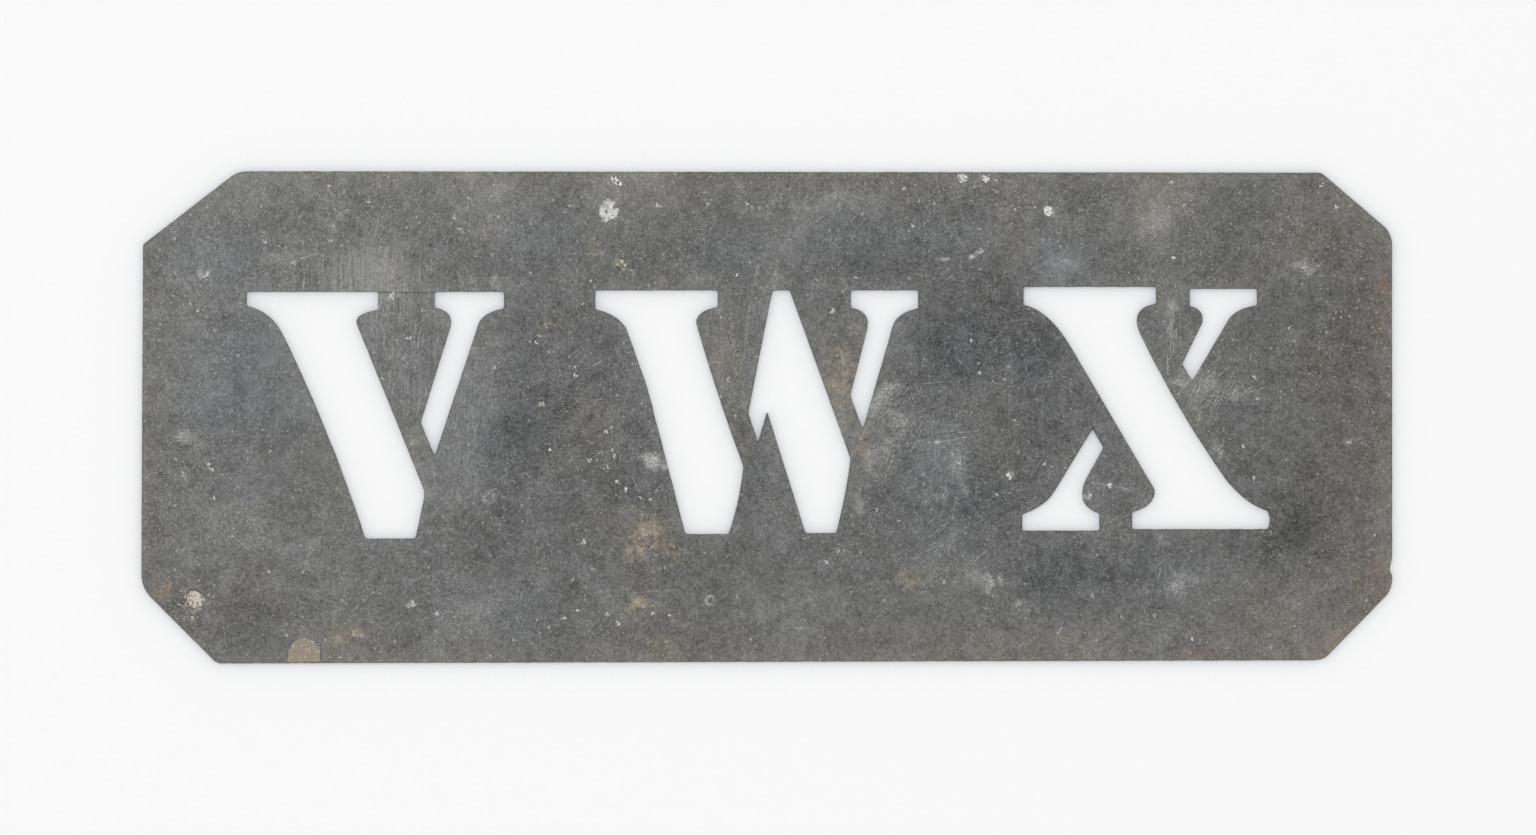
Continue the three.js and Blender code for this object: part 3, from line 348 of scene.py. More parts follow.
class StencilStageSettings(bpy.types.PropertyGroup):
    """Floor, light and camera."""

    floor: colour_setting("Floor", "Colour of the floor", srgb(250, 251, 251))
    floor_side: length_setting("Floor side", "Length of the floor's side", 8.0)
    sky: share_setting("Sky", "Brightness of the even light from all round", 0.34)
    low_light: number_setting("Low light", "Brightness of the light near the horizon", 2.6)
    low_tint: colour_setting("Low tint", "Colour of the light near the horizon", (1.0, 0.9, 0.8))
    lamp: number_setting("Lamp", "Power of the large soft lamp", 18.5, unit="POWER")
    lamp_tint: colour_setting("Lamp tint", "Colour of the large soft lamp", (0.74, 0.86, 1.0))
    lamp_side: length_setting("Lamp side", "Length of the soft lamp's side", 2.0)
    camera_height: length_setting("Camera height", "Height of the camera over the sheet", 1.2)
    view_width: length_setting("View width", "Width of the picture at the sheet", 0.3118)


def sheet_look():
    """The scene's settings for the zinc sheet."""
    return bpy.context.scene.stencil_sheet


def residue_look():
    """The scene's settings for the dried paint and plaster."""
    return bpy.context.scene.stencil_residue


# Surfaces


def drift(x, y, length, seed):
    """Smooth irregular field of unit spread: the sum of plane waves of about one length, whose headings,
    rates and phases come from a seeded generator, divided by the square root of half their number."""
    waves = 16
    draw = np.random.default_rng(seed)
    heading = draw.uniform(0, 2 * np.pi, waves)
    rate = 2 * np.pi / length * draw.uniform(0.7, 1.4, waves)
    phase = draw.uniform(0, 2 * np.pi, waves)
    angle = rate * (np.outer(x, np.cos(heading)) + np.outer(y, np.sin(heading))) + phase
    return np.cos(angle).sum(axis=1) / math.sqrt(waves / 2)


def patch_field(x, y, patches):
    """Sum of soft ellipses: each adds its strength times exp(-(u * u + v * v)), where u and v are the
    distances along its two turned axes as shares of its half length and half width."""
    total = np.zeros(len(x))
    for across, up, length, width, strength, *turn in patches:
        angle = math.radians(turn[0] if turn else 0)
        cosine = math.cos(angle)
        sine = math.sin(angle)
        u = ((x - across) * cosine + (y - up) * sine) / length
        v = ((y - up) * cosine - (x - across) * sine) / width
        total += strength * np.exp(-(u * u + v * v))
    return total


def in_blocks(work, points):
    """What a function gives for many points, worked out on one block of them after another."""
    return np.concatenate([work(block) for block in np.array_split(points, len(points) // BLOCK + 1)])


def mirrored_below(points):
    """The x and y of points, with x turned round on the underside, whose marks are the face's, mirrored."""
    return points[:, :2] * np.where(points[:, 2:] < UNDERSIDE, (-1, 1), 1)


def strayed(points, far):
    """The x and y of points, shifted by smooth irregular amounts: about a given distance over long ways,
    and half a millimetre over short ones. It gives the soft patches ragged rims."""
    x, y = mirrored_below(points).T
    return (x + far * drift(x, y, length=11, seed=51) + 0.5 * drift(x, y, length=3, seed=52),
            y + far * drift(x, y, length=11, seed=53) + 0.5 * drift(x, y, length=3, seed=54))


def node_box(node):
    """Lowest and highest corner of a CAD node in millimetres."""
    return [np.array(corner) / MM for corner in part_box(node)]


def mesh_points(mesh):
    """A mesh's points in millimetres."""
    points = np.empty(len(mesh.vertices) * 3)
    mesh.vertices.foreach_get("co", points)
    return points.reshape(-1, 3) / MM


def border_loops(node):
    """Closed outlines of a flat solid's upper face, as corners in millimetres, metal on the left.

    A border edge is a side of an upper triangle that no other triangle runs back along. Each corner's
    follower is the end of its border edge. Jumping to the follower, then the follower's follower and so
    on in doubled steps gives each corner the lowest number on its loop and the steps left to the loop's
    end, which sort it."""
    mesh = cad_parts[node].data
    mesh.calc_loop_triangles()
    corners = np.round(mesh_points(mesh), 4)
    triangles = np.empty(len(mesh.loop_triangles) * 3, int)
    mesh.loop_triangles.foreach_get("vertices", triangles)
    same_height = 0.01
    upper = corners[triangles.reshape(-1, 3)]
    upper = upper[(upper[:, :, 2] > corners[:, 2].max() - same_height).all(axis=1), :, :2]
    points, number = np.unique(upper.reshape(-1, 2), axis=0, return_inverse=True)
    start = number.reshape(-1, 3)
    end = np.roll(start, -1, axis=1)
    border = ~np.isin(start * len(points) + end, end * len(points) + start)
    follower = np.empty(len(points), int)
    follower[start[border]] = end[border]

    doublings = int(math.log2(len(points))) + 1
    head = np.arange(len(points))
    jump = follower.copy()
    for _ in range(doublings):
        head = np.minimum(head, head[jump])
        jump = jump[jump]
    is_last = follower == head
    jump = np.where(is_last, np.arange(len(points)), follower)
    steps_left = np.where(is_last, 0, 1)
    for _ in range(doublings):
        steps_left = steps_left + steps_left[jump]
        jump = jump[jump]
    order = np.lexsort((-steps_left, head))
    breaks = np.flatnonzero(np.diff(head[order])) + 1
    return np.split(points[order], breaks)


def left_normals(loop):
    """Unit normals of a closed outline, to the left of the way it runs, which is into the metal."""
    along = np.roll(loop, -1, axis=0) - np.roll(loop, 1, axis=0)
    normal = np.column_stack((-along[:, 1], along[:, 0]))
    return normal / np.linalg.norm(normal, axis=1, keepdims=True)


def hand_cut(loop, step, wobble):
    """A closed outline cut by hand: each side is divided into steps, the corners are eased by a
    one-two-one mean of neighbours, and the edge strays along its normals by a smooth irregular amount.
    It is rounded to the precision that a mesh keeps."""
    side = np.roll(loop, -1, axis=0) - loop
    parts = np.maximum(np.ceil(np.linalg.norm(side, axis=1) / step), 1).astype(int)
    first = np.cumsum(parts) - parts
    corner = np.repeat(np.arange(len(loop)), parts)
    share = (np.arange(parts.sum()) - first[corner]) / parts[corner]
    dense = loop[corner] + share[:, None] * side[corner]
    dense = (np.roll(dense, 1, axis=0) + 2 * dense + np.roll(dense, -1, axis=0)) / 4
    x, y = dense.T
    stray = drift(x, y, length=5, seed=11) + 0.6 * drift(x, y, length=1.6, seed=12)
    dense = dense + left_normals(dense) * (wobble * stray)[:, None]
    return dense.astype(np.float32).astype(float)


def cut_edges():
    """The sheet's outlines as they are cut by hand, in millimetres."""
    look = sheet_look()
    return [hand_cut(loop, look.outline_step / MM, look.edge_wobble / MM) for loop in border_loops(SHEET)]


def edge_distance(points, loops):
    """Distance of each point to the nearest edge. The nearest outline point comes from squared distances in
    blocks, and the exact distance from the two sides that meet there."""
    outline = np.concatenate(loops)
    ahead = np.concatenate([np.roll(loop, -1, axis=0) for loop in loops])
    behind = np.concatenate([np.roll(loop, 1, axis=0) for loop in loops])
    square = (outline ** 2).sum(axis=1)
    nearest = in_blocks(lambda block: np.argmin(square - 2 * block @ outline.T, axis=1), points)

    def to_side(a, b):
        along = b - a
        share = ((points - a) * along).sum(axis=1) / (along ** 2).sum(axis=1)
        foot = a + np.clip(share, 0, 1)[:, None] * along
        return np.linalg.norm(points - foot, axis=1)

    corner = outline[nearest]
    return np.minimum(to_side(corner, ahead[nearest]), to_side(corner, behind[nearest]))


def on_metal(points, loops):
    """True for points on the metal: a ray to the right crosses the outlines an odd number of times."""
    start = np.concatenate(loops)
    end = np.concatenate([np.roll(loop, -1, axis=0) for loop in loops])
    run = end - start
    slope = run[:, 0] / np.where(run[:, 1] == 0, 1, run[:, 1])

    def odd(block):
        x, y = block[:, :1], block[:, 1:]
        spans = (start[:, 1] > y) != (end[:, 1] > y)
        meets = start[:, 0] + (y - start[:, 1]) * slope
        return (spans & (meets > x)).sum(axis=1) % 2 == 1

    return in_blocks(odd, points)


def fill_outline(loops, rows, step):
    """Triangles that fill the metal between the outlines: the outlines themselves, rows of points set in
    from them and a staggered grid are joined by a constrained Delaunay triangulation, and triangles in the
    openings are dropped."""
    outline = np.concatenate(loops)
    inward = np.concatenate([left_normals(loop) for loop in loops])
    inner = [outline + inward * inset for inset in rows]
    low = outline.min(axis=0)
    high = outline.max(axis=0)
    across = np.arange(low[0], high[0], step)
    up = np.arange(low[1], high[1], step)
    grid_x, grid_y = np.meshgrid(across, up)
    grid_x = grid_x + step / 2 * (np.arange(len(up)) % 2)[:, None]
    grid = np.column_stack((grid_x.ravel(), grid_y.ravel()))
    spaced = [line[edge_distance(line, loops) > 0.9 * inset] for inset, line in zip(rows, inner)]
    grid = grid[edge_distance(grid, loops) > rows[-1] + 0.4 * step]
    grid = grid[on_metal(grid, loops)]
    points = np.concatenate([outline, *spaced, grid])
    numbers = np.split(np.arange(len(outline)), np.cumsum([len(loop) for loop in loops])[:-1])
    sides = np.concatenate([np.column_stack((run, np.roll(run, -1))) for run in numbers])
    inside_outlines = 1
    same_place = 1e-6
    filled = delaunay_2d_cdt(points.tolist(), sides.tolist(), [], inside_outlines, same_place)
    points = np.array(filled[0])
    triangles = np.array(filled[2])
    spans_outline = (triangles < len(outline)).all(axis=1)
    kept = ~spans_outline
    kept[spans_outline] = on_metal(points[triangles[spans_outline]].mean(axis=1), loops)
    return points, triangles[kept]


def face_height(points, gap, radius, swell):
    """Height of the marked face: the sheet's thickness, rolled over along a quarter circle near the
    edges, plus a slow swell that fades out over the last few millimetres towards them."""
    inset = np.clip(gap, 0, radius)
    rolled = FACE_HEIGHT - radius + np.sqrt(np.maximum(radius ** 2 - (radius - inset) ** 2, 0))
    return rolled + swell * drift(points[:, 0], points[:, 1], length=38, seed=21) * np.clip(gap / 4, 0, 1)


def band_triangles(rings, count):
    """Triangles between closed rings of points, each ring of one count and joined to the next."""
    first = np.arange(rings - 1)[:, None] * count
    here = first + np.arange(count)
    there = first + np.roll(np.arange(count), -1)
    upper = np.stack((here, here + count, there), axis=-1)
    lower = np.stack((there, here + count, there + count), axis=-1)
    return np.concatenate((upper, lower)).reshape(-1, 3)


def cut_wall(loop, heights, roughness):
    """The cut wall below an outline: the outline carried down through the heights, and pushed into the
    metal by small upright tool marks that fade at the two rims. Gives points row by row and their
    triangles."""
    x, y = loop.T
    marks = drift(x, y, length=0.9, seed=31) + drift(x, y, length=3.1, seed=32)
    depth = np.sin(np.linspace(0, np.pi, len(heights)))
    push = np.abs(roughness * marks)[None, :, None] * depth[:, None, None] * left_normals(loop)[None]
    points = np.empty((len(heights), len(loop), 3))
    points[:, :, :2] = loop[None] + push
    points[:, :, 2] = heights[:, None]
    return points.reshape(-1, 3), band_triangles(len(heights), len(loop))


def polar_lump(node, profile, radius_at):
    """A closed lump in the box of a CAD node: rings of points run out from the middle to a lobed rim,
    then down and back under to the middle. The rim's distance is a function of the angle, as a share of
    the box's half sizes, and the height over the face is a function of the place and of the share of the
    way out. Gives points in millimetres and triangles."""
    low, high = node_box(node)
    middle = (low + high) / 2
    half = (high - low) / 2
    out = np.concatenate((np.linspace(0, 1, LUMP_RINGS), (1, 0)))
    angle = np.arange(LUMP_SIDES) * 2 * np.pi / LUMP_SIDES
    reach = radius_at(angle)
    x = middle[0] + half[0] * np.outer(out, reach * np.cos(angle))
    y = middle[1] + half[1] * np.outer(out, reach * np.sin(angle))
    share = np.repeat(out, LUMP_SIDES)
    rise = profile(x.ravel(), y.ravel(), share) * (high[2] - FACE_HEIGHT)
    under = np.repeat(np.arange(len(out)) >= LUMP_RINGS, LUMP_SIDES)
    z = FACE_HEIGHT + np.where(under, -LUMP_SINK, np.maximum(rise, THINNEST))
    return np.column_stack((x.ravel(), y.ravel(), z)), band_triangles(len(out), LUMP_SIDES)


def rim(corners):
    """Rim of a lump as a function of the angle: straight runs, in polar terms, between given distances as
    pairs of degrees and share, with small irregular teeth."""
    degrees, shares = np.array(corners).T

    def radius_at(angle):
        smooth = np.interp(np.degrees(angle), degrees, shares, period=360)
        teeth = 0.03 * drift(9 * np.cos(angle), 9 * np.sin(angle), length=4, seed=41)
        teeth = teeth + 0.02 * drift(9 * np.cos(angle), 9 * np.sin(angle), length=1.8, seed=42)
        return smooth + teeth

    return radius_at


def new_object(name, data):
    """A new object in the scene."""
    made = bpy.data.objects.new(name, data)
    bpy.context.scene.collection.objects.link(made)
    return made


def finish_mesh(name, points, triangles, weld=1e-7):
    """Makes an object of points in millimetres and triangles, with doubled points merged and soft
    shading. Points closer than the weld, in metres, are doubled."""
    mesh = bpy.data.meshes.new(name)
    mesh.from_pydata(points * MM, [], triangles)
    joined = bmesh.new()
    joined.from_mesh(mesh)
    bmesh.ops.remove_doubles(joined, verts=joined.verts, dist=weld)
    bmesh.ops.dissolve_degenerate(joined, edges=joined.edges, dist=weld)
    joined.to_mesh(mesh)
    joined.free()
    mesh.polygons.foreach_set("use_smooth", np.ones(len(mesh.polygons), bool))
    mesh.set_sharp_from_angle(angle=SHARP_ANGLE)
    return new_object(name, mesh)


def set_field(mesh, name, values):
    """Stores one number for each point of a mesh, for its material to read."""
    mesh.attributes.new(name, "FLOAT", "POINT").data.foreach_set("value", np.asarray(values, np.float32))


def hairlines():
    """Fine straight scratches strewn by a seeded generator: normal spreads of places and headings about
    those of each patch. Gives rows of start, end, ring radius of nothing, width and strength."""
    draw = np.random.default_rng(45)
    rows = []
    for across, up, length, width, heading, spread, count, strength in HAIRLINE_PATCHES:
        middle = draw.normal((across, up), (length / 1.6, width / 1.6), (count, 2))
        turn = np.radians(draw.normal(heading, spread, count))
        reach = draw.uniform(0.5, 2.6, (count, 1)) * np.column_stack((np.cos(turn), np.sin(turn)))
        thin = draw.uniform(0.2, 0.36, count)
        faint = strength * draw.uniform(0.4, 1.4, count)
        rows.append(np.column_stack((middle - reach, middle + reach, np.zeros(count), thin, faint)))
    return np.concatenate(rows)


def set_mark_fields(mesh):
    """Stores on each triangle's corners their place in the frame of the mark nearest to the triangle's
    middle, where a strong mark counts as nearer: along it from its middle, across it, and its half
    length; and its ring radius, width and strength. A mark is a straight run, or a ring with no run. On
    the underside the marks are mirrored."""
    rings = [(x, y, x, y, radius, width, strength) for x, y, radius, width, strength in RING_MARKS]
    runs = [(*mark[:4], 0.0, *mark[4:]) for mark in SCRATCHES_AND_SHADOW_LINES]
    marks = np.concatenate((runs, rings, hairlines()))
    middle = (marks[:, 0:2] + marks[:, 2:4]) / 2
    half = np.linalg.norm(marks[:, 2:4] - marks[:, 0:2], axis=1) / 2
    along_run = (marks[:, 2:4] - middle) / np.maximum(half, 1e-9)[:, None]
    heading = np.where(half[:, None] > 0, along_run, (1.0, 0.0))

    numbers = np.empty(len(mesh.loops), int)
    mesh.loops.foreach_get("vertex_index", numbers)
    corners = mirrored_below(mesh_points(mesh))[numbers].reshape(-1, 3, 2)

    def in_mark_frame(offset, along):
        return (offset * along).sum(axis=-1), along[..., 0] * offset[..., 1] - along[..., 1] * offset[..., 0]

    def nearest_mark(centre):
        run, across = in_mark_frame(centre[:, None] - middle, heading[None])
        gap = np.hypot(np.maximum(np.abs(run) - half, 0), across) - marks[:, 4]
        return np.argmin(np.abs(gap) - MARK_PULL * np.abs(marks[:, 6]), axis=1)

    nearest = in_blocks(nearest_mark, corners.mean(axis=1))
    run, across = in_mark_frame(corners - middle[nearest][:, None], heading[nearest][:, None])
    place = np.stack((run, across, np.repeat(half[nearest][:, None], 3, axis=1)), axis=-1)
    form = np.repeat(marks[nearest, 4:][:, None], 3, axis=1)
    for name, values in (("mark_place", place), ("mark_form", form)):
        field = mesh.attributes.new(name, "FLOAT_VECTOR", "CORNER")
        field.data.foreach_set("vector", values.astype(np.float32).ravel())


def settle(piece, material, node=None):
    """Gives a piece its material and its body, and hides the CAD node that it stands for."""
    piece.data.materials.append(material)
    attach(piece, BODY)
    if node:
        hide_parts(node)


# Shader wiring


class Wiring:
    """Short calls that add nodes to one shader tree and give back their outputs."""

    def __init__(self, tree):
        self.tree = tree

    def node(self, kind, **settings):
        """A new node with its settings."""
        made = self.tree.nodes.new(kind)
        for name, value in settings.items():
            setattr(made, name, value)
        return made

    def feed(self, socket, value):
        """Links an output to an input, or sets the input to a plain value."""
        if isinstance(value, bpy.types.NodeSocket):
            self.tree.links.new(value, socket)
        else:
            socket.default_value = value

    def in_order(self, made, *values):
        """Feeds a node's inputs in order and gives its first output."""
        for socket, value in zip(made.inputs, values):
            self.feed(socket, value)
        return made.outputs[0]

    def by_name(self, made, **values):
        """Feeds a node's inputs by name and gives its first output."""
        for name, value in values.items():
            self.feed(made.inputs[name], value)
        return made.outputs[0]

    def math(self, operation, *values, clamp=False):
        """Arithmetic on numbers."""
        return self.in_order(self.node("ShaderNodeMath", operation=operation, use_clamp=clamp), *values)

    def vector(self, operation, *values):
        """Arithmetic on vectors or colours."""
        return self.in_order(self.node("ShaderNodeVectorMath", operation=operation), *values)

    def scaled(self, vector, factor):
        """A vector or colour times a number."""
        return self.by_name(self.node("ShaderNodeVectorMath", operation="SCALE"), Vector=vector, Scale=factor)

    def parts(self, vector):
        """The three numbers of a vector."""
        made = self.node("ShaderNodeSeparateXYZ")
        self.feed(made.inputs[0], vector)
        return made.outputs

    def smooth_step(self, value, low, high, start=0.0, end=1.0):
        """A smooth rise from start to end while a value goes from low to high."""
        made = self.node("ShaderNodeMapRange", interpolation_type="SMOOTHSTEP")
        return self.in_order(made, value, low, high, start, end)

    def mix(self, share, first, second):
        """A colour that goes from the first to the second by a share."""
        made = self.node("ShaderNodeMix", data_type="RGBA")
        self.feed(made.inputs["Factor"], share)
        colours = [socket for socket in made.inputs if socket.type == "RGBA"]
        self.feed(colours[0], first)
        self.feed(colours[1], second)
        return next(socket for socket in made.outputs if socket.type == "RGBA")

    def noise(self, place, length, detail, roughness):
        """Noise from 0 to 1, with lumps of about a given length."""
        made = self.node("ShaderNodeTexNoise", noise_dimensions="3D")
        return self.by_name(made, Vector=place, Scale=1 / length, Detail=detail, Roughness=roughness)

    def swing(self, place, length, detail, roughness):
        """Noise about zero."""
        return self.math("SUBTRACT", self.noise(place, length, detail, roughness), 0.5)

    def stretched(self, place, scale, turn):
        """A place turned by degrees about z and scaled."""
        heading = (0, 0, math.radians(turn))
        return self.by_name(self.node("ShaderNodeMapping"), Vector=place, Rotation=heading, Scale=scale)

    def millimetres(self):
        """The place on the object in millimetres."""
        return self.scaled(self.node("ShaderNodeTexCoord").outputs["Object"], 1 / MM)

    def field(self, name, output="Fac"):
        """A field that is stored on the mesh."""
        return self.node("ShaderNodeAttribute", attribute_name=name).outputs[output]

    def group(self, tree, **values):
        """A shared effect with its inputs."""
        return self.by_name(self.node("ShaderNodeGroup", node_tree=tree), **values)


def effect(name, output, **inputs):
    """An empty shader node group with named inputs and one number as its output. Gives its tree, its
    wiring, the inputs by name and the socket that the result goes to."""
    tree = bpy.data.node_groups.new(name, "ShaderNodeTree")
    for label, default in inputs.items():
        kind = "NodeSocketVector" if isinstance(default, tuple) else "NodeSocketFloat"
        socket = tree.interface.new_socket(label, in_out="INPUT", socket_type=kind)
        socket.default_value = default
    tree.interface.new_socket(output, in_out="OUTPUT", socket_type="NodeSocketFloat")
    wire = Wiring(tree)
    entry = wire.node("NodeGroupInput")
    given = {label: entry.outputs[label] for label in inputs}
    return tree, wire, given, wire.node("NodeGroupOutput").inputs[0]


def mottle_effect():
    """Grey mottling of several sizes, and a fine upright grain: a zero-mean value."""
    tree, wire, given, result = effect("mottle", "Tone", Vector=(0, 0, 0), Coarse=0.2, Middle=0.2, Fine=0.2,
                                       Grain=0.2)
    place = given["Vector"]
    upright = wire.stretched(place, (1.0, 0.22, 1.0), 2.0)
    swings = (
        ("Coarse", wire.swing(place, length=24, detail=2, roughness=0.85)),
        ("Middle", wire.swing(place, length=3.4, detail=2, roughness=0.95)),
        ("Fine", wire.swing(place, length=0.62, detail=1.5, roughness=1)),
        ("Grain", wire.swing(upright, length=0.42, detail=1, roughness=0.8)),
    )
    total = 0.0
    for label, swing in swings:
        total = wire.math("MULTIPLY_ADD", swing, given[label], total)
    wire.feed(result, total)
    return tree


def specks_effect():
    """Irregular dots: a share of the Voronoi cells of a given size, made ragged by a noise, holds a dot
    of random size and strength."""
    tree, wire, given, result = effect("specks", "Mask", Vector=(0, 0, 0), Cell=1.0, Share=0.3, Radius=0.25)
    ragged = wire.node("ShaderNodeTexNoise", noise_dimensions="3D")
    wire.by_name(ragged, Vector=given["Vector"], Scale=3.4)
    shift = wire.vector("MULTIPLY_ADD", ragged.outputs["Color"], (0.45, 0.45, 0.0), given["Vector"])
    cells = wire.node("ShaderNodeTexVoronoi", voronoi_dimensions="2D", feature="F1")
    wire.by_name(cells, Vector=shift, Scale=wire.math("DIVIDE", 1.0, given["Cell"]))
    chance = wire.node("ShaderNodeSeparateColor")
    wire.feed(chance.inputs[0], cells.outputs["Color"])
    distance = wire.math("MULTIPLY", cells.outputs["Distance"], given["Cell"])
    size = wire.math("MULTIPLY", given["Radius"], wire.math("MULTIPLY_ADD", chance.outputs[1], 0.75, 0.25))
    dot = wire.smooth_step(wire.math("DIVIDE", distance, size), 1.0, 0.35)
    present = wire.math("LESS_THAN", chance.outputs[0], given["Share"])
    strength = wire.math("MULTIPLY_ADD", wire.math("POWER", chance.outputs[2], 2.0), 0.85, 0.15)
    wire.feed(result, wire.math("MULTIPLY", wire.math("MULTIPLY", dot, present), strength))
    return tree


def shared_effect(name):
    """A shader node group by name, made on first use."""
    makers = {"mottle": mottle_effect, "specks": specks_effect}
    return bpy.data.node_groups.get(name) or makers[name]()


def new_material(name):
    """A material with a bare Principled shader. Gives the material, its wiring and the shader."""
    material = bpy.data.materials.new(name)
    material.use_nodes = True
    material.node_tree.nodes.clear()
    wire = Wiring(material.node_tree)
    shader = wire.node("ShaderNodeBsdfPrincipled")
    output = wire.node("ShaderNodeOutputMaterial")
    wire.feed(output.inputs["Surface"], shader.outputs[0])
    return material, wire, shader


def add_bump(wire, shader, height, distance, strength):
    """Feeds a height through a Bump node to a shader's normal."""
    bump = wire.node("ShaderNodeBump")
    normal = wire.by_name(bump, Height=height, Distance=distance, Strength=strength)
    wire.feed(shader.inputs["Normal"], normal)


def opaque(colour):
    """A colour with full alpha."""
    return (*colour, 1.0)


def mark_line(wire):
    """Strength of the nearest scratch, ring mark or painted shadow line, from the coordinates stored on the
    face's corners: full on its line, nothing six tenths of its width away, below zero for a dark one."""
    run, across, half = wire.parts(wire.field("mark_place", "Vector"))
    radius, width, strength = wire.parts(wire.field("mark_form", "Vector"))
    beyond = wire.math("MAXIMUM", wire.math("SUBTRACT", wire.math("ABSOLUTE", run), half), 0.0)
    square = wire.math("MULTIPLY_ADD", across, across, wire.math("MULTIPLY", beyond, beyond))
    off = wire.math("ABSOLUTE", wire.math("SUBTRACT", wire.math("SQRT", square), radius))
    line = wire.smooth_step(off, wire.math("MULTIPLY", width, 0.6), 0.0)
    return wire.math("MULTIPLY", line, strength)


def weathered_zinc(look):
    """Dull zinc: mottled grey with warm and bluish areas, pale specks, chalky bloom, ochre and rust stains,
    rubbing marks, scratches and ring marks, and two dark lines of painted shadow beside the scab. Near the cut
    edges it is a little paler, with dirt and painted shade at the very rim."""
    material, wire, shader = new_material("weathered_zinc")
    place = wire.millimetres()
    tone = wire.group(shared_effect("mottle"), Vector=place, Coarse=0.5, Middle=0.78, Fine=1.2, Grain=0.3)
    cloud = wire.noise(place, length=2.6, detail=3, roughness=0.85)
    uneven = wire.math("MULTIPLY_ADD", cloud, 1.3, 0.35)

    upright = wire.stretched(place, (4.2, 0.07, 1.0), 1.5)
    streaks = wire.noise(upright, length=1, detail=2, roughness=0.8)
    lift = wire.math("MAXIMUM", wire.math("SUBTRACT", streaks, 0.42), -0.05)
    rubbed = wire.math("MULTIPLY", lift, wire.field("brushed"))
    light = wire.math("MULTIPLY_ADD", wire.field("tone"), uneven, 1.0)
    light = wire.math("ADD", light, tone)
    light = wire.math("MULTIPLY_ADD", rubbed, 1.7, light)
    gap = wire.field("edge_gap")
    light = wire.math("ADD", light, wire.smooth_step(gap, 4.0, 0.0, 0.0, 0.12))

    drifting = wire.swing(place, length=9, detail=3, roughness=0.75)
    hue = wire.math("MULTIPLY_ADD", drifting, 0.5, wire.field("warmth"))
    red = wire.math("MULTIPLY_ADD", hue, 0.085, 1.0)
    blue = wire.math("MULTIPLY_ADD", hue, -0.1, 1.0)
    tint = wire.in_order(wire.node("ShaderNodeCombineXYZ"), red, 1.0, blue)
    shade = wire.scaled(tint, wire.math("MAXIMUM", light, 0.35))
    colour = wire.vector("MULTIPLY", shade, tuple(look.zinc))

    blotch = wire.smooth_step(wire.noise(place, length=1.7, detail=3, roughness=0.8), 0.36, 0.66)
    ochre = wire.math("MULTIPLY", wire.field("ochre"), blotch, clamp=True)
    rust = wire.math("MULTIPLY", wire.field("rust"), blotch, clamp=True)
    colour = wire.mix(ochre, colour, opaque(look.ochre))
    colour = wire.mix(rust, colour, opaque(look.rust))

    cluster = wire.smooth_step(wire.noise(place, length=9, detail=4, roughness=0.8), 0.36, 0.64, 0.2, 1.9)
    dense = wire.math("MULTIPLY", wire.field("speckle"), cluster)
    few = wire.math("MULTIPLY", dense, 0.2)
    many = wire.math("MULTIPLY", dense, 0.36)
    fine = wire.group(shared_effect("specks"), Vector=place, Cell=0.5, Share=many, Radius=0.22)
    wide = wire.group(shared_effect("specks"), Vector=place, Cell=1.6, Share=few, Radius=0.42)
    grit = wire.smooth_step(wire.noise(place, length=0.38, detail=2, roughness=0.95), 0.38, 0.66)
    bloom = wire.field("bloom")
    ragged = wire.math("MULTIPLY_ADD", wire.swing(place, length=1.2, detail=3, roughness=0.9), 1.1, bloom)
    coat = wire.smooth_step(ragged, 0.1, 0.95)
    powder = wire.math("MULTIPLY", coat, wire.math("MULTIPLY_ADD", grit, 1.1, 0.15))
    dust = wire.math("MULTIPLY", powder, wire.math("MULTIPLY", bloom, 1.6, clamp=True), clamp=True)
    broken = wire.smooth_step(wire.noise(place, length=0.9, detail=2, roughness=0.9), 0.34, 0.62)
    line = mark_line(wire)
    pale = wire.math("MULTIPLY", wire.math("MAXIMUM", fine, wide), 0.55)
    pale = wire.math("MAXIMUM", pale, dust)
    pale = wire.math("MAXIMUM", pale, wire.math("MULTIPLY", line, broken))
    colour = wire.mix(pale, colour, opaque(look.chalk))

    # Dark rim within about a tenth of a millimetre of the cut: partly dirt, partly painted shade of the rolled
    # edge and the cut wall.
    rim_dirt_and_shade = wire.smooth_step(wire.math("MULTIPLY_ADD", cloud, -0.1, gap), 0.12, 0.0, 0.0, 0.4)
    dark = wire.math("MAXIMUM", wire.math("MULTIPLY", line, -1.0), rim_dirt_and_shade)
    colour = wire.mix(dark, colour, opaque(look.soil_and_shade))

    wire.feed(shader.inputs["Base Color"], colour)
    wire.feed(shader.inputs["Specular IOR Level"], 0.35)
    dull = wire.math("MULTIPLY_ADD", tone, -0.3, look.roughness)
    wire.feed(shader.inputs["Roughness"], wire.math("MULTIPLY_ADD", pale, 0.25, dull))
    wire.feed(shader.inputs["Metallic"], wire.math("MULTIPLY_ADD", pale, -0.5, 0.5, clamp=True))
    relief = wire.math("MULTIPLY_ADD", pale, 0.5, tone)
    add_bump(wire, shader, wire.math("MULTIPLY_ADD", dark, -0.6, relief), distance=0.00002, strength=0.5)
    return material


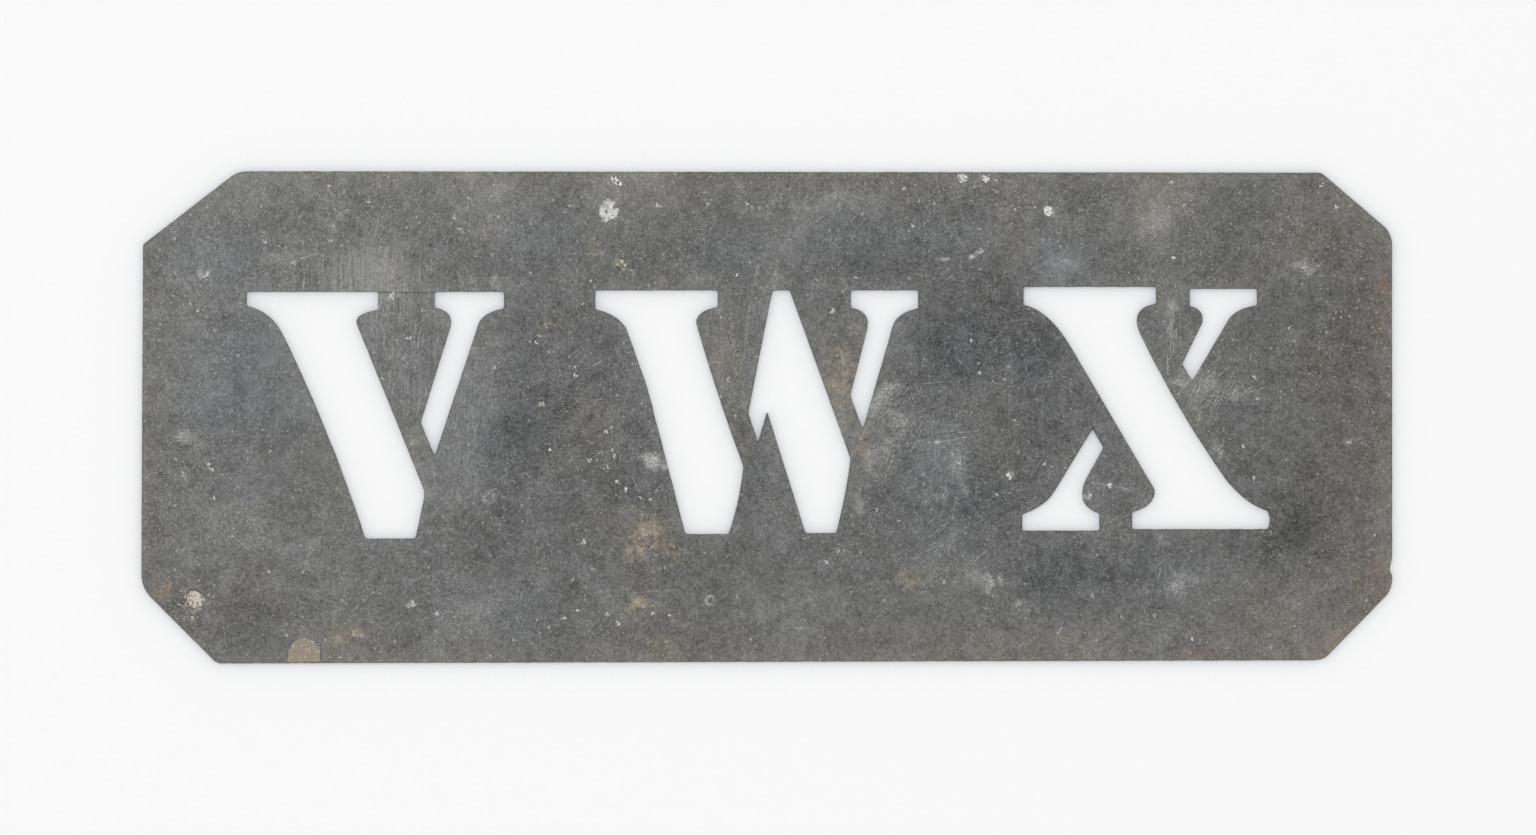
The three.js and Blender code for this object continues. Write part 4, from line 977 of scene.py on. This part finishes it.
def dried_paint(name, colour, under, patch_size, contrast):
    """Chalky dried paint or plaster: patches let what is under it show, by the stored cover and a noise. On
    the plaster crust the cover paints shade into the hollows, and on the scab it paints a highlight on the
    rim.
    """
    material, wire, shader = new_material(name)
    place = wire.millimetres()
    tone = wire.group(shared_effect("mottle"), Vector=place, Coarse=0.1, Middle=0.3, Fine=0.6, Grain=0.1)
    patch = wire.swing(place, length=patch_size, detail=2, roughness=0.9)
    amount = wire.smooth_step(wire.math("MULTIPLY_ADD", patch, contrast, wire.field("cover")), 0.1, 0.9)
    shade = wire.scaled(tuple(colour), wire.math("ADD", tone, 1.0))
    wire.feed(shader.inputs["Base Color"], wire.mix(amount, opaque(under), shade))
    wire.feed(shader.inputs["Roughness"], wire.math("MULTIPLY_ADD", patch, 0.2, 0.8))
    add_bump(wire, shader, wire.math("ADD", patch, tone), distance=0.00004, strength=0.6)
    return material


def fleck_paint(look, zinc):
    """Paint of the small flecks: metal grey to white by each fleck's own whiteness, tan on crumbs."""
    material, wire, shader = new_material("fleck_paint")
    place = wire.millimetres()
    tone = wire.group(shared_effect("mottle"), Vector=place, Coarse=0.0, Middle=0.2, Fine=0.5, Grain=0.0)
    paint = wire.mix(wire.field("tan"), opaque(look.white), opaque(look.tan))
    uneven = wire.math("MULTIPLY_ADD", tone, 1.5, 1.0)
    colour = wire.mix(wire.math("MULTIPLY", wire.field("whiteness"), uneven, clamp=True), opaque(zinc), paint)
    wire.feed(shader.inputs["Base Color"], colour)
    wire.feed(shader.inputs["Roughness"], wire.math("MULTIPLY_ADD", tone, 0.2, 0.8))
    return material


# Pieces


class STENCIL_OT_sheet(bpy.types.Operator):
    """Make the zinc sheet with its hand-cut edges and weathered face"""

    bl_idname = "stencil.sheet"
    bl_label = "Zinc sheet"

    def execute(self, context):
        look = sheet_look()
        radius = look.edge_radius / MM
        loops = cut_edges()
        face, face_triangles = fill_outline(loops, [*ROLLED_ROWS, radius, *FLAT_ROWS], look.face_step / MM)
        gap = edge_distance(face, loops)
        gap[gap < ON_EDGE] = 0
        top = np.column_stack((face, face_height(face, gap, radius, look.swell / MM)))

        back, back_triangles = fill_outline(loops, [BACK_RADIUS], look.back_step / MM)
        is_rim = edge_distance(back, loops) < BACK_RADIUS / 2
        under = np.column_stack((back, np.where(is_rim, BACK_RADIUS, 0)))

        heights = np.linspace(FACE_HEIGHT - radius, BACK_RADIUS, WALL_ROWS)
        points = [top, under]
        triangles = [face_triangles, back_triangles[:, ::-1] + len(top)]
        count = len(top) + len(under)
        for loop in loops:
            wall, wall_triangles = cut_wall(loop, heights, TOOL_MARKS)
            points.append(wall)
            triangles.append(wall_triangles + count)
            count += len(wall)
        sheet = finish_mesh("zinc_sheet", np.concatenate(points), np.concatenate(triangles), weld=1e-6)

        mesh = sheet.data
        place = mesh_points(mesh)
        x, y = strayed(place, TONE_STRAY)
        set_field(mesh, "tone", LEVEL * patch_field(x, y, TONE_PATCHES))
        set_field(mesh, "warmth", patch_field(x, y, WARM_PATCHES) / WARM_LEVELS)
        x, y = strayed(place, STAIN_STRAY)
        set_field(mesh, "speckle", 1 + patch_field(x, y, SPECKLE_PATCHES))
        stains = (("bloom", BLOOM_PATCHES), ("brushed", BRUSHED_PATCHES), ("ochre", OCHRE_PATCHES),
                  ("rust", RUST_PATCHES))
        for name, patches in stains:
            set_field(mesh, name, patch_field(x, y, patches))
        set_field(mesh, "edge_gap", np.minimum(edge_distance(place[:, :2], loops), FAR_FROM_EDGE))
        set_mark_fields(mesh)
        settle(sheet, weathered_zinc(look), SHEET)
        return {"FINISHED"}


def lump_piece(node, profile, corners, material, cover):
    """Makes a lump that stands for a CAD node. How much of it is covered is a function of the place as
    shares of the node's half sizes, of the share of the way out and of the height's share, and is stored
    as a field."""
    radius_at = rim(corners)
    points, triangles = polar_lump(node, profile, radius_at)
    piece = finish_mesh(node + "_dried", points, triangles)
    low, high = node_box(node)
    x, y, z = ((mesh_points(piece.data) - (low + high) / 2) / ((high - low) / 2)).T
    out = np.clip(np.hypot(x, y) / radius_at(np.arctan2(y, x)), 0, 1)
    set_field(piece.data, "cover", cover(x, y, out, np.clip((z + 1) / 2, 0, 1)))
    settle(piece, material, node)


def dome(x, y, share):
    """Lumpy dome: falls off with the square of the way out, with bumps about 0.7 mm long."""
    return (1 - share ** 2) * (0.75 + 0.22 * drift(x, y, length=0.7, seed=61))


def plate(x, y, share):
    """Flat flake with a steep rim and a gently uneven top."""
    return (1 - share ** 14) * (0.72 + 0.14 * drift(x, y, length=0.9, seed=62))


def heap(x, y, share):
    """Heap of grains: at each place the highest of many seeded random balls over a low cone."""
    draw = np.random.default_rng(63)
    count = 170
    largest = 0.34
    out = np.sqrt(draw.uniform(0, 1, count))
    angle = draw.uniform(0, 2 * np.pi, count)
    middle_x = (x.min() + x.max()) / 2
    middle_y = (y.min() + y.max()) / 2
    grain_x = middle_x + out * np.cos(angle) * np.ptp(x) / 2
    grain_y = middle_y + out * np.sin(angle) * np.ptp(y) / 2
    ball = draw.uniform(0.12, largest, count)
    square = (x[:, None] - grain_x) ** 2 + (y[:, None] - grain_y) ** 2
    rise = np.sqrt(np.maximum(ball ** 2 - square, 0)) / largest * (1.15 - 0.75 * out)
    return np.maximum(rise.max(axis=1), 0.12 * (1 - share))


def patchy(level, slope, spread, seed):
    """Cover of a lump: it rises to the right by a slope, comes and goes and thins out at the rim."""
    return lambda x, y, out, height: level + slope * x + spread * drift(x, y, 0.7, seed) - 0.3 * out ** 8


# A rim is pairs of degrees and of the distance there as a share of the node's half sizes.
WHITE_LUMPS = (  # node, profile, rim, and the cover's level, slope, spread and seed
    ("paint_splash_top", dome,
     ((8, 1.05), (31, 0.72), (50, 1.02), (75, 0.95), (100, 1.04), (119, 1.02), (144, 1.14), (166, 1.26),
      (190, 1.22), (215, 1.14), (245, 1.16), (260, 0.74), (283, 0.6), (322, 0.86), (348, 0.94)),
     (0.62, 0.1, 0.08, 81)),
    ("paint_dab_top", dome,
     ((0, 0.6), (30, 0.42), (60, 0.46), (90, 0.75), (110, 0.95), (135, 1.15), (160, 0.92), (180, 0.75),
      (210, 0.42), (240, 0.42), (270, 0.6), (295, 1), (315, 1.18), (340, 0.95)), (0.52, 0, 0.28, 82)),
    ("paint_flake_top_edge", plate,
     ((0, 0.95), (57, 1.02), (90, 0.9), (136, 1.34), (180, 0.84), (215, 0.84), (245, 1.06), (290, 0.78),
      (338, 1.08)), (0.49, 0, 0.12, 83)),
    ("paint_chip_top_edge", plate,
     ((0, 0.9), (30, 0.9), (70, 0.5), (125, 1.2), (170, 0.7), (215, 0.7), (265, 1), (285, 0.95), (330, 0.85)),
     (0.66, 0, 0.2, 84)),
    ("paint_spot_upper_right", dome,
     ((0, 0.98), (40, 0.94), (80, 1.02), (120, 1), (150, 1.06), (190, 0.9), (230, 0.86), (270, 1),
      (300, 1.06), (330, 0.96)), (0.82, 0, 0.25, 85)),
)
CRUST_RIM = ((0, 1.02), (20, 0.9), (45, 1), (70, 0.86), (95, 0.98), (130, 1.1), (150, 1.12), (175, 0.9),
             (200, 0.8), (235, 0.95), (265, 0.9), (300, 1.02), (335, 0.9))
SCAB_RIM = ((0, 0.93), (23, 0.91), (57, 0.95), (92, 1), (112, 0.94), (131, 0.89), (155, 0.87), (177, 0.9),
            (206, 1.09), (225, 1.4), (247, 1.08), (270, 0.99), (293, 1.07), (316, 1.37), (341, 1))


class STENCIL_OT_white_paint(bpy.types.Operator):
    """Make the dried splashes, dabs and flakes of white paint along the top of the face"""

    bl_idname = "stencil.white_paint"
    bl_label = "White paint"

    def execute(self, context):
        white = residue_look().white
        paint = dried_paint("white_paint", white, sheet_look().zinc, patch_size=0.6, contrast=1.7)
        for node, profile, corners, cover in WHITE_LUMPS:
            lump_piece(node, profile, corners, paint, patchy(*cover))
        return {"FINISHED"}


class STENCIL_OT_plaster(bpy.types.Operator):
    """Make the granular plaster crust by the lower left corner"""

    bl_idname = "stencil.plaster"
    bl_label = "Plaster crust"

    def execute(self, context):
        plaster = residue_look().plaster
        material = dried_paint("plaster_crust", plaster, sheet_look().soil_and_shade, patch_size=0.45, contrast=2.6)
        # The cover grows with height, so the low places between the grains show the dark soil colour: painted
        # shade in the hollows.
        lump_piece("plaster_crust_lower_left", heap, CRUST_RIM, material,
                   lambda x, y, out, height: 0.22 + 1.1 * height)
        return {"FINISHED"}


class STENCIL_OT_scab(bpy.types.Operator):
    """Make the thick khaki scab at the bottom edge"""

    bl_idname = "stencil.scab"
    bl_label = "Khaki scab"

    def execute(self, context):
        look = residue_look()
        material = dried_paint("khaki_paint_and_highlight", look.tan, look.khaki, patch_size=0.65, contrast=4)
        # The tan share grows towards the right and at the rim: a painted highlight on the scab's raised rim,
        # over its mottling.
        lump_piece("paint_scab_bottom_edge", plate, SCAB_RIM, material,
                   lambda x, y, out, height: 0.02 + 0.04 * x + 0.15 * out ** 14)
        return {"FINISHED"}


def strewn_flecks(count, outline, draw):
    """Small random flecks, denser where there are more specks: of the places tried, each is kept by a chance
    that grows with the extra specks there. Gives rows of x, y, width, whiteness and share of tan."""
    tried = draw.uniform(outline.min(axis=0), outline.max(axis=0), (count, 2))
    chance = 0.12 + 0.25 * patch_field(tried[:, 0], tried[:, 1], SPECKLE_PATCHES)
    kept = tried[draw.uniform(0, 1, len(tried)) < chance]
    width = draw.lognormal(-0.75, 0.32, len(kept))
    whiteness = draw.uniform(0.2, 0.75, len(kept))
    tan = draw.uniform(0, 0.9, len(kept))
    return np.column_stack((kept, width, whiteness, tan))


def crust_crumbs(draw):
    """Tan crumbs strewn about the plaster crust, as rows of the same kind."""
    low, high = node_box("plaster_crust_lower_left")
    place = draw.normal((low + high)[:2] / 2 - 0.4, 1.7, (CRUMBS, 2))
    width = draw.uniform(0.2, 0.5, CRUMBS)
    whiteness = draw.uniform(0.4, 1.0, CRUMBS)
    return np.column_stack((place, width, whiteness, np.ones(CRUMBS)))


def broken_up(flecks, draw):
    """Each fleck as three bits of unequal width and whiteness, each a random way off its middle by a
    share of the fleck's width."""
    bits = np.repeat(flecks, 3, axis=0)
    off = np.tile((0.1, 0.42, 0.5), len(flecks)) * bits[:, 2]
    angle = draw.uniform(0, 2 * np.pi, len(bits))
    bits[:, 0] += off * np.cos(angle)
    bits[:, 1] += off * np.sin(angle)
    bits[:, 2] *= np.tile((0.78, 0.52, 0.4), len(flecks)) * draw.uniform(0.8, 1.2, len(bits))
    bits[:, 3] *= draw.uniform(0.75, 1.2, len(bits))
    return bits


def fleck_domes(flecks, height, draw):
    """Small closed domes, one for each fleck: a peak, a middle ring, a rim of irregular radius a little
    under the face, and the middle of its foot. Gives an array of points for each fleck and an array of
    triangles."""
    sides = FLECK_SIDES
    count = len(flecks)
    angle = np.arange(sides) * 2 * np.pi / sides + draw.uniform(0, 2 * np.pi, (count, 1))
    radius = flecks[:, 2:3] / 2 * draw.uniform(0.5, 1.25, (count, sides))
    stretch = draw.uniform(0.75, 1.3, (count, 1))
    rise = height * np.clip(flecks[:, 2:3], 0.4, 1.6) ** 0.5
    points = np.empty((count, 2 * sides + 2, 3))
    points[:, :, 0] = flecks[:, 0:1]
    points[:, :, 1] = flecks[:, 1:2]
    points[:, 0, 2] = FACE_HEIGHT + rise[:, 0]
    for ring, share, lift in ((1, 0.6, 0.75), (1 + sides, 1.0, -0.5)):
        points[:, ring:ring + sides, 0] += share * radius * np.cos(angle)
        points[:, ring:ring + sides, 1] += share * radius * np.sin(angle) * stretch
        points[:, ring:ring + sides, 2] = FACE_HEIGHT + lift * rise
    points[:, -1, 2] = FACE_HEIGHT - 0.5 * rise[:, 0]
    side = np.arange(sides)
    ahead = np.roll(side, -1)
    peak = np.column_stack((np.zeros(sides, int), 1 + side, 1 + ahead))
    outer = np.column_stack((1 + side, 1 + sides + side, 1 + ahead))
    inner = np.column_stack((1 + ahead, 1 + sides + side, 1 + sides + ahead))
    foot = np.column_stack((np.full(sides, 2 * sides + 1), 1 + sides + ahead, 1 + sides + side))
    triangles = np.concatenate((peak, outer, inner, foot))
    first = np.arange(count)[:, None, None] * (2 * sides + 2)
    return points, triangles[None] + first


class STENCIL_OT_flecks(bpy.types.Operator):
    """Make the small dried flecks and crumbs that are spattered over the face"""

    bl_idname = "stencil.flecks"
    bl_label = "Flecks and crumbs"

    def execute(self, context):
        look = residue_look()
        draw = np.random.default_rng(71)
        loops = cut_edges()
        strewn = strewn_flecks(look.fleck_count, np.concatenate(loops), draw)
        crumbs = crust_crumbs(draw)
        placed = np.array([(*fleck, 0.0) for fleck in WHITE_FLECKS] + [(*fleck, 1.0) for fleck in TAN_FLECKS])
        flecks = np.concatenate((broken_up(np.concatenate((placed, strewn)), draw), crumbs))
        flecks = flecks[on_metal(flecks[:, :2], loops)]
        room = edge_distance(flecks[:, :2], loops)
        flecks = flecks[room > FLECK_MARGIN + FLECK_REACH * flecks[:, 2]]
        points, triangles = fleck_domes(flecks, look.fleck_height / MM, draw)
        piece = finish_mesh("paint_flecks", points.reshape(-1, 3), triangles.reshape(-1, 3), weld=1e-9)
        peak, ring, rim_and_foot = 1.0, 0.8, 0.1
        fade = np.repeat((peak, ring, rim_and_foot), (1, FLECK_SIDES, FLECK_SIDES + 1))
        set_field(piece.data, "whiteness", np.outer(flecks[:, 3], fade).ravel())
        set_field(piece.data, "tan", np.repeat(flecks[:, 4], points.shape[1]))
        settle(piece, fleck_paint(look, sheet_look().zinc))
        return {"FINISHED"}


# Stage


def add_floor(look):
    """A pale dull floor just under the sheet."""
    half = look.floor_side / 2
    corners = [(x, y, -FLOOR_DROP) for x, y in ((-half, -half), (half, -half), (half, half), (-half, half))]
    mesh = bpy.data.meshes.new("floor")
    mesh.from_pydata(corners, [], [(0, 1, 2, 3)])
    floor = new_object("floor", mesh)
    material, wire, shader = new_material("pale_floor")
    wire.feed(shader.inputs["Base Color"], opaque(look.floor))
    wire.feed(shader.inputs["Roughness"], 0.9)
    wire.feed(shader.inputs["Specular IOR Level"], 0.0)
    mesh.materials.append(material)


def add_sky(scene, look):
    """Even light from all round, with a tinted glow that grows towards the horizon. Rays from
    the camera, mirrored rays and rays that pass through see plain white."""
    world = bpy.data.worlds.new("even_light")
    world.use_nodes = True
    world.node_tree.nodes.clear()
    wire = Wiring(world.node_tree)
    path = wire.node("ShaderNodeLightPath")
    seen = wire.math("MAXIMUM", path.outputs["Is Camera Ray"], path.outputs["Is Glossy Ray"])
    seen = wire.math("MAXIMUM", seen, path.outputs["Is Transmission Ray"])
    upward = wire.parts(wire.node("ShaderNodeTexCoord").outputs["Generated"])[2]
    low = wire.math("POWER", wire.math("SUBTRACT", 1.0, wire.math("ABSOLUTE", upward)), 2.0)
    glow = wire.scaled(tuple(look.low_tint), wire.math("MULTIPLY", low, look.low_light))
    light = wire.vector("ADD", glow, (look.sky, look.sky, look.sky))
    sky = wire.node("ShaderNodeBackground")
    wire.feed(sky.inputs["Color"], wire.mix(seen, light, (1, 1, 1, 1)))
    output = wire.node("ShaderNodeOutputWorld")
    wire.feed(output.inputs["Surface"], sky.outputs[0])
    scene.world = world


def add_lamp(look):
    """A large soft lamp, high up and turned to the sheet."""
    lamp = bpy.data.lights.new("soft_lamp", "AREA")
    lamp.energy = look.lamp
    lamp.size = look.lamp_side
    lamp.color = look.lamp_tint
    holder = new_object("soft_lamp", lamp)
    holder.location = LAMP_PLACE
    holder.rotation_euler = (-holder.location).to_track_quat("-Z", "Y").to_euler()
    holder.visible_camera = False


def add_camera(scene, look):
    """A camera straight above the sheet, whose picture is as wide there as the settings say."""
    camera = bpy.data.cameras.new("camera")
    camera.lens = camera.sensor_width * look.camera_height / look.view_width
    camera.clip_end = 100.0
    holder = new_object("camera", camera)
    holder.location = (*CAMERA_SHIFT, look.camera_height + FACE_HEIGHT * MM)
    scene.camera = holder


class STENCIL_OT_stage(bpy.types.Operator):
    """Make the pale floor, the soft light and the camera"""

    bl_idname = "stencil.stage"
    bl_label = "Stage"

    def execute(self, context):
        look = context.scene.stencil_stage
        add_floor(look)
        add_sky(context.scene, look)
        add_lamp(look)
        add_camera(context.scene, look)
        context.scene.view_settings.view_transform = "Standard"
        return {"FINISHED"}


OPERATORS = (STENCIL_OT_sheet, STENCIL_OT_white_paint, STENCIL_OT_plaster, STENCIL_OT_scab, STENCIL_OT_flecks,
             STENCIL_OT_stage)


class STENCIL_PT_panel(bpy.types.Panel):
    """Lists the stencil's settings and the steps that make it"""

    bl_idname = "STENCIL_PT_panel"
    bl_label = "Letter stencil"
    bl_space_type = "VIEW_3D"
    bl_region_type = "UI"
    bl_category = "Stencil"

    def draw(self, context):
        scene = context.scene
        for settings in (scene.stencil_sheet, scene.stencil_residue, scene.stencil_stage):
            box = self.layout.box()
            for name in settings.bl_rna.properties.keys():
                if name not in {"rna_type", "name"}:
                    box.prop(settings, name)
        for operator in OPERATORS:
            self.layout.operator(operator.bl_idname)


CLASSES = (StencilSheetSettings, StencilResidueSettings, StencilStageSettings, *OPERATORS, STENCIL_PT_panel)


def register():
    """Adds the classes and the settings to Blender."""
    for each in CLASSES:
        bpy.utils.register_class(each)
    bpy.types.Scene.stencil_sheet = bpy.props.PointerProperty(type=StencilSheetSettings)
    bpy.types.Scene.stencil_residue = bpy.props.PointerProperty(type=StencilResidueSettings)
    bpy.types.Scene.stencil_stage = bpy.props.PointerProperty(type=StencilStageSettings)


def unregister():
    """Takes the settings and the classes away again."""
    del bpy.types.Scene.stencil_stage
    del bpy.types.Scene.stencil_residue
    del bpy.types.Scene.stencil_sheet
    for each in reversed(CLASSES):
        bpy.utils.unregister_class(each)


def main():
    """Makes every piece and the stage."""
    register()
    bpy.ops.stencil.sheet()
    bpy.ops.stencil.white_paint()
    bpy.ops.stencil.plaster()
    bpy.ops.stencil.scab()
    bpy.ops.stencil.flecks()
    bpy.ops.stencil.stage()


if __name__ == "__main__":
    main()
